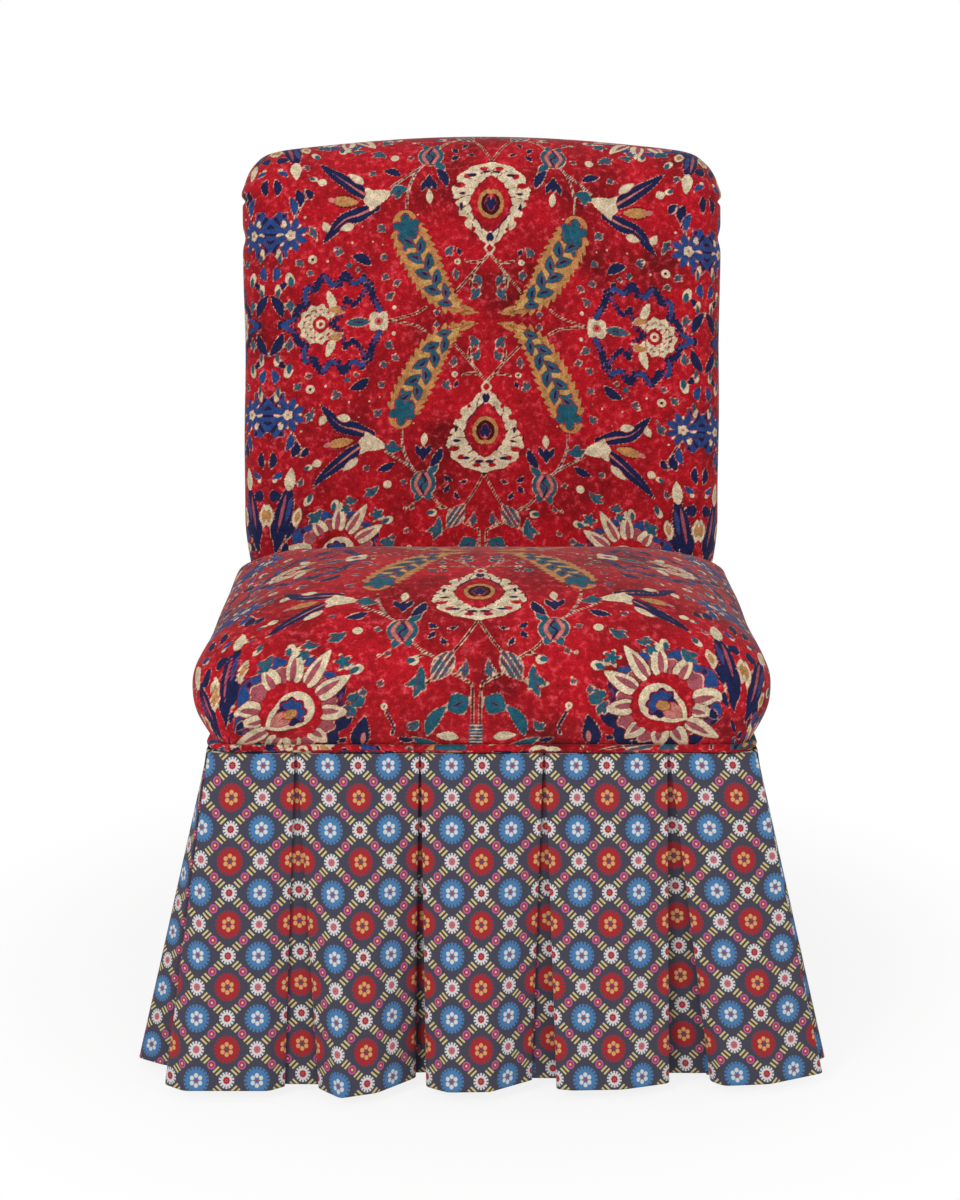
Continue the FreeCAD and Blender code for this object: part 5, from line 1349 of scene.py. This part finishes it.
def wood(name, pale, dark, ringPitch, roughness):
    # straight grain: bands stretched along the piece, slightly raised
    material = newMaterial(name, Roughness=roughness, Specular_IOR_Level=0.35)
    place = addNode(material, "TexCoord").outputs["Object"]
    drawn = addNode(material, "Mapping", {"Scale": (1, 1, 0.12)}, {"Vector": place})
    rings = noise(material, drawn.outputs[0], ringPitch, 3)
    plug(material, Base_Color=mixed(material, rings, hexColour(pale), hexColour(dark)),
         Normal=bumped(material, rings, 0.15, 0.3))
    return material


def metal(name, tone, roughness):
    # plated or drawn metal with a little unevenness in its shine
    material = newMaterial(name, Metallic=1.0, Base_Color=hexColour(tone))
    cloud = noise(material, addNode(material, "TexCoord").outputs["Object"], 7.14, 2)
    plug(material, Roughness=ranged(material, cloud, 0, 1, roughness - 0.06, roughness + 0.1))
    return material


finishes = {
    "beech_frame": wood("beech", "C9A06E", "B0824F", 5.0, 0.55),
    "pine_block": wood("pine", "D9BC86", "C49A5C", 6.0, 0.6),
    "beech_dowel": wood("beech dowel", "CBA373", "B98C5A", 4.0, 0.6),
    "zinc_plated_screw": metal("zinc-plated steel", "B9BDC0", 0.35),
    "nickel_plated_glide": metal("nickel-plated steel", "C2BFB8", 0.25),
    "jute_webbing": plainCloth("jute webbing", ("8F744A", "B29464"), 2.2),
    "spring_steel": metal("spring steel", "77736E", 0.4),
    "spring_twine": plainCloth("hemp twine", ("9C8457", "B79E70"), 1.2),
    "hessian": plainCloth("hessian", ("94794E", "B79A6B"), 1.8),
    "edge_roll": plainCloth("edge roll in hessian", ("8C734C", "AC9063"), 2.0),
    "cotton_felt": plainCloth("cotton felt", ("C9C4B8", "DCD8CE"), 2.5),
    "tacking_card": plainCloth("tacking strip, grey card", ("6E6A62", "7E7A70"), 1.5),
}
slotOf = {part["node"]: part["material_slot"] for part in frame["record"]["subparts"]
          if part["material_slot"] in finishes}
for node, thing in frame["nodes"].items():
    if not thing.hide_render:
        thing.data.materials.clear()
        thing.data.materials.append(finishes[slotOf[node]])


# Floor and backdrop: a pale room, white to the camera away from the chair

def paleFloor():
    # Diffuse, so that it takes the chair's shadow, mixed with plain white where the camera sees it.
    reach = 30000.0
    corners = np.array([[[x, y, 0] for x in (-reach, reach)] for y in (-reach, reach)])
    material = newMaterial("pale floor", Roughness=0.9, Base_Color=hexColour("F4F3F2"),
                           Specular_IOR_Level=0.1)
    shine = addNode(material, "Emission", {"Color": (1, 1, 1, 1), "Strength": 1.0})
    away = addNode(material, "VectorMath", {"operation": "LENGTH"},
                   {0: addNode(material, "TexCoord").outputs["Object"]})
    far = Wire(material, ranged(material, away.outputs["Value"], 0.35, 0.75, 0.85, smoothed=True))
    seen = far * Wire(material, addNode(material, "LightPath").outputs["Is Camera Ray"])
    nodes = material.node_tree.nodes
    both = addNode(material, "MixShader", links={
        0: seen.socket, 1: nodes["Principled BSDF"].outputs[0], 2: shine.outputs[0]})
    material.node_tree.links.new(both.outputs[0], nodes["Material Output"].inputs["Surface"])
    gridMesh("floor", corners, materials=[material])


def whiteRoom(strength):
    # dim white light from all round, and plain white where the camera sees it
    world = bpy.data.worlds.new("room")
    bpy.context.scene.world = world
    world.use_nodes = True
    ambient = addNode(world, "Background", {"Color": (1, 1, 1, 1), "Strength": strength})
    white = addNode(world, "Background", {"Color": (1, 1, 1, 1)})
    choice = addNode(world, "MixShader", links={0: addNode(world, "LightPath").outputs["Is Camera Ray"],
                                                1: ambient.outputs[0], 2: white.outputs[0]})
    tree = world.node_tree
    tree.links.new(choice.outputs[0], tree.nodes["World Output"].inputs["Surface"])


def softLight(name, place, aim, size, power):
    light = bpy.data.lights.new(name, "AREA")
    light.shape, light.size, light.energy = "DISK", size, power
    holder = bpy.data.objects.new(name, light)
    bpy.context.scene.collection.objects.link(holder)
    holder.location = place
    holder.rotation_euler = (Vector(aim) - Vector(place)).to_track_quat("-Z", "Y").to_euler()


paleFloor()
whiteRoom(0.4)
softLight("key", (-1.6, -2.6, 2.3), (0, 0, 0.45), 1.5, 54)
softLight("fill", (2.4, -2.2, 1.6), (0, 0, 0.4), 2.2, 22)
softLight("top", (0.2, 0.0, 3.0), (0, 0, 0.5), 2.0, 10)

camera = bpy.data.cameras.new("camera")
camera.lens, camera.sensor_width = 67.53, 36.0
cameraHolder = bpy.data.objects.new("camera", camera)
bpy.context.scene.collection.objects.link(cameraHolder)
cameraHolder.location = (-0.002, -2.412, 1.0275)
cameraHolder.rotation_euler = (math.radians(90 - 14.05), 0, 0)
bpy.context.scene.camera = cameraHolder
bpy.context.scene.view_settings.view_transform = "Standard"
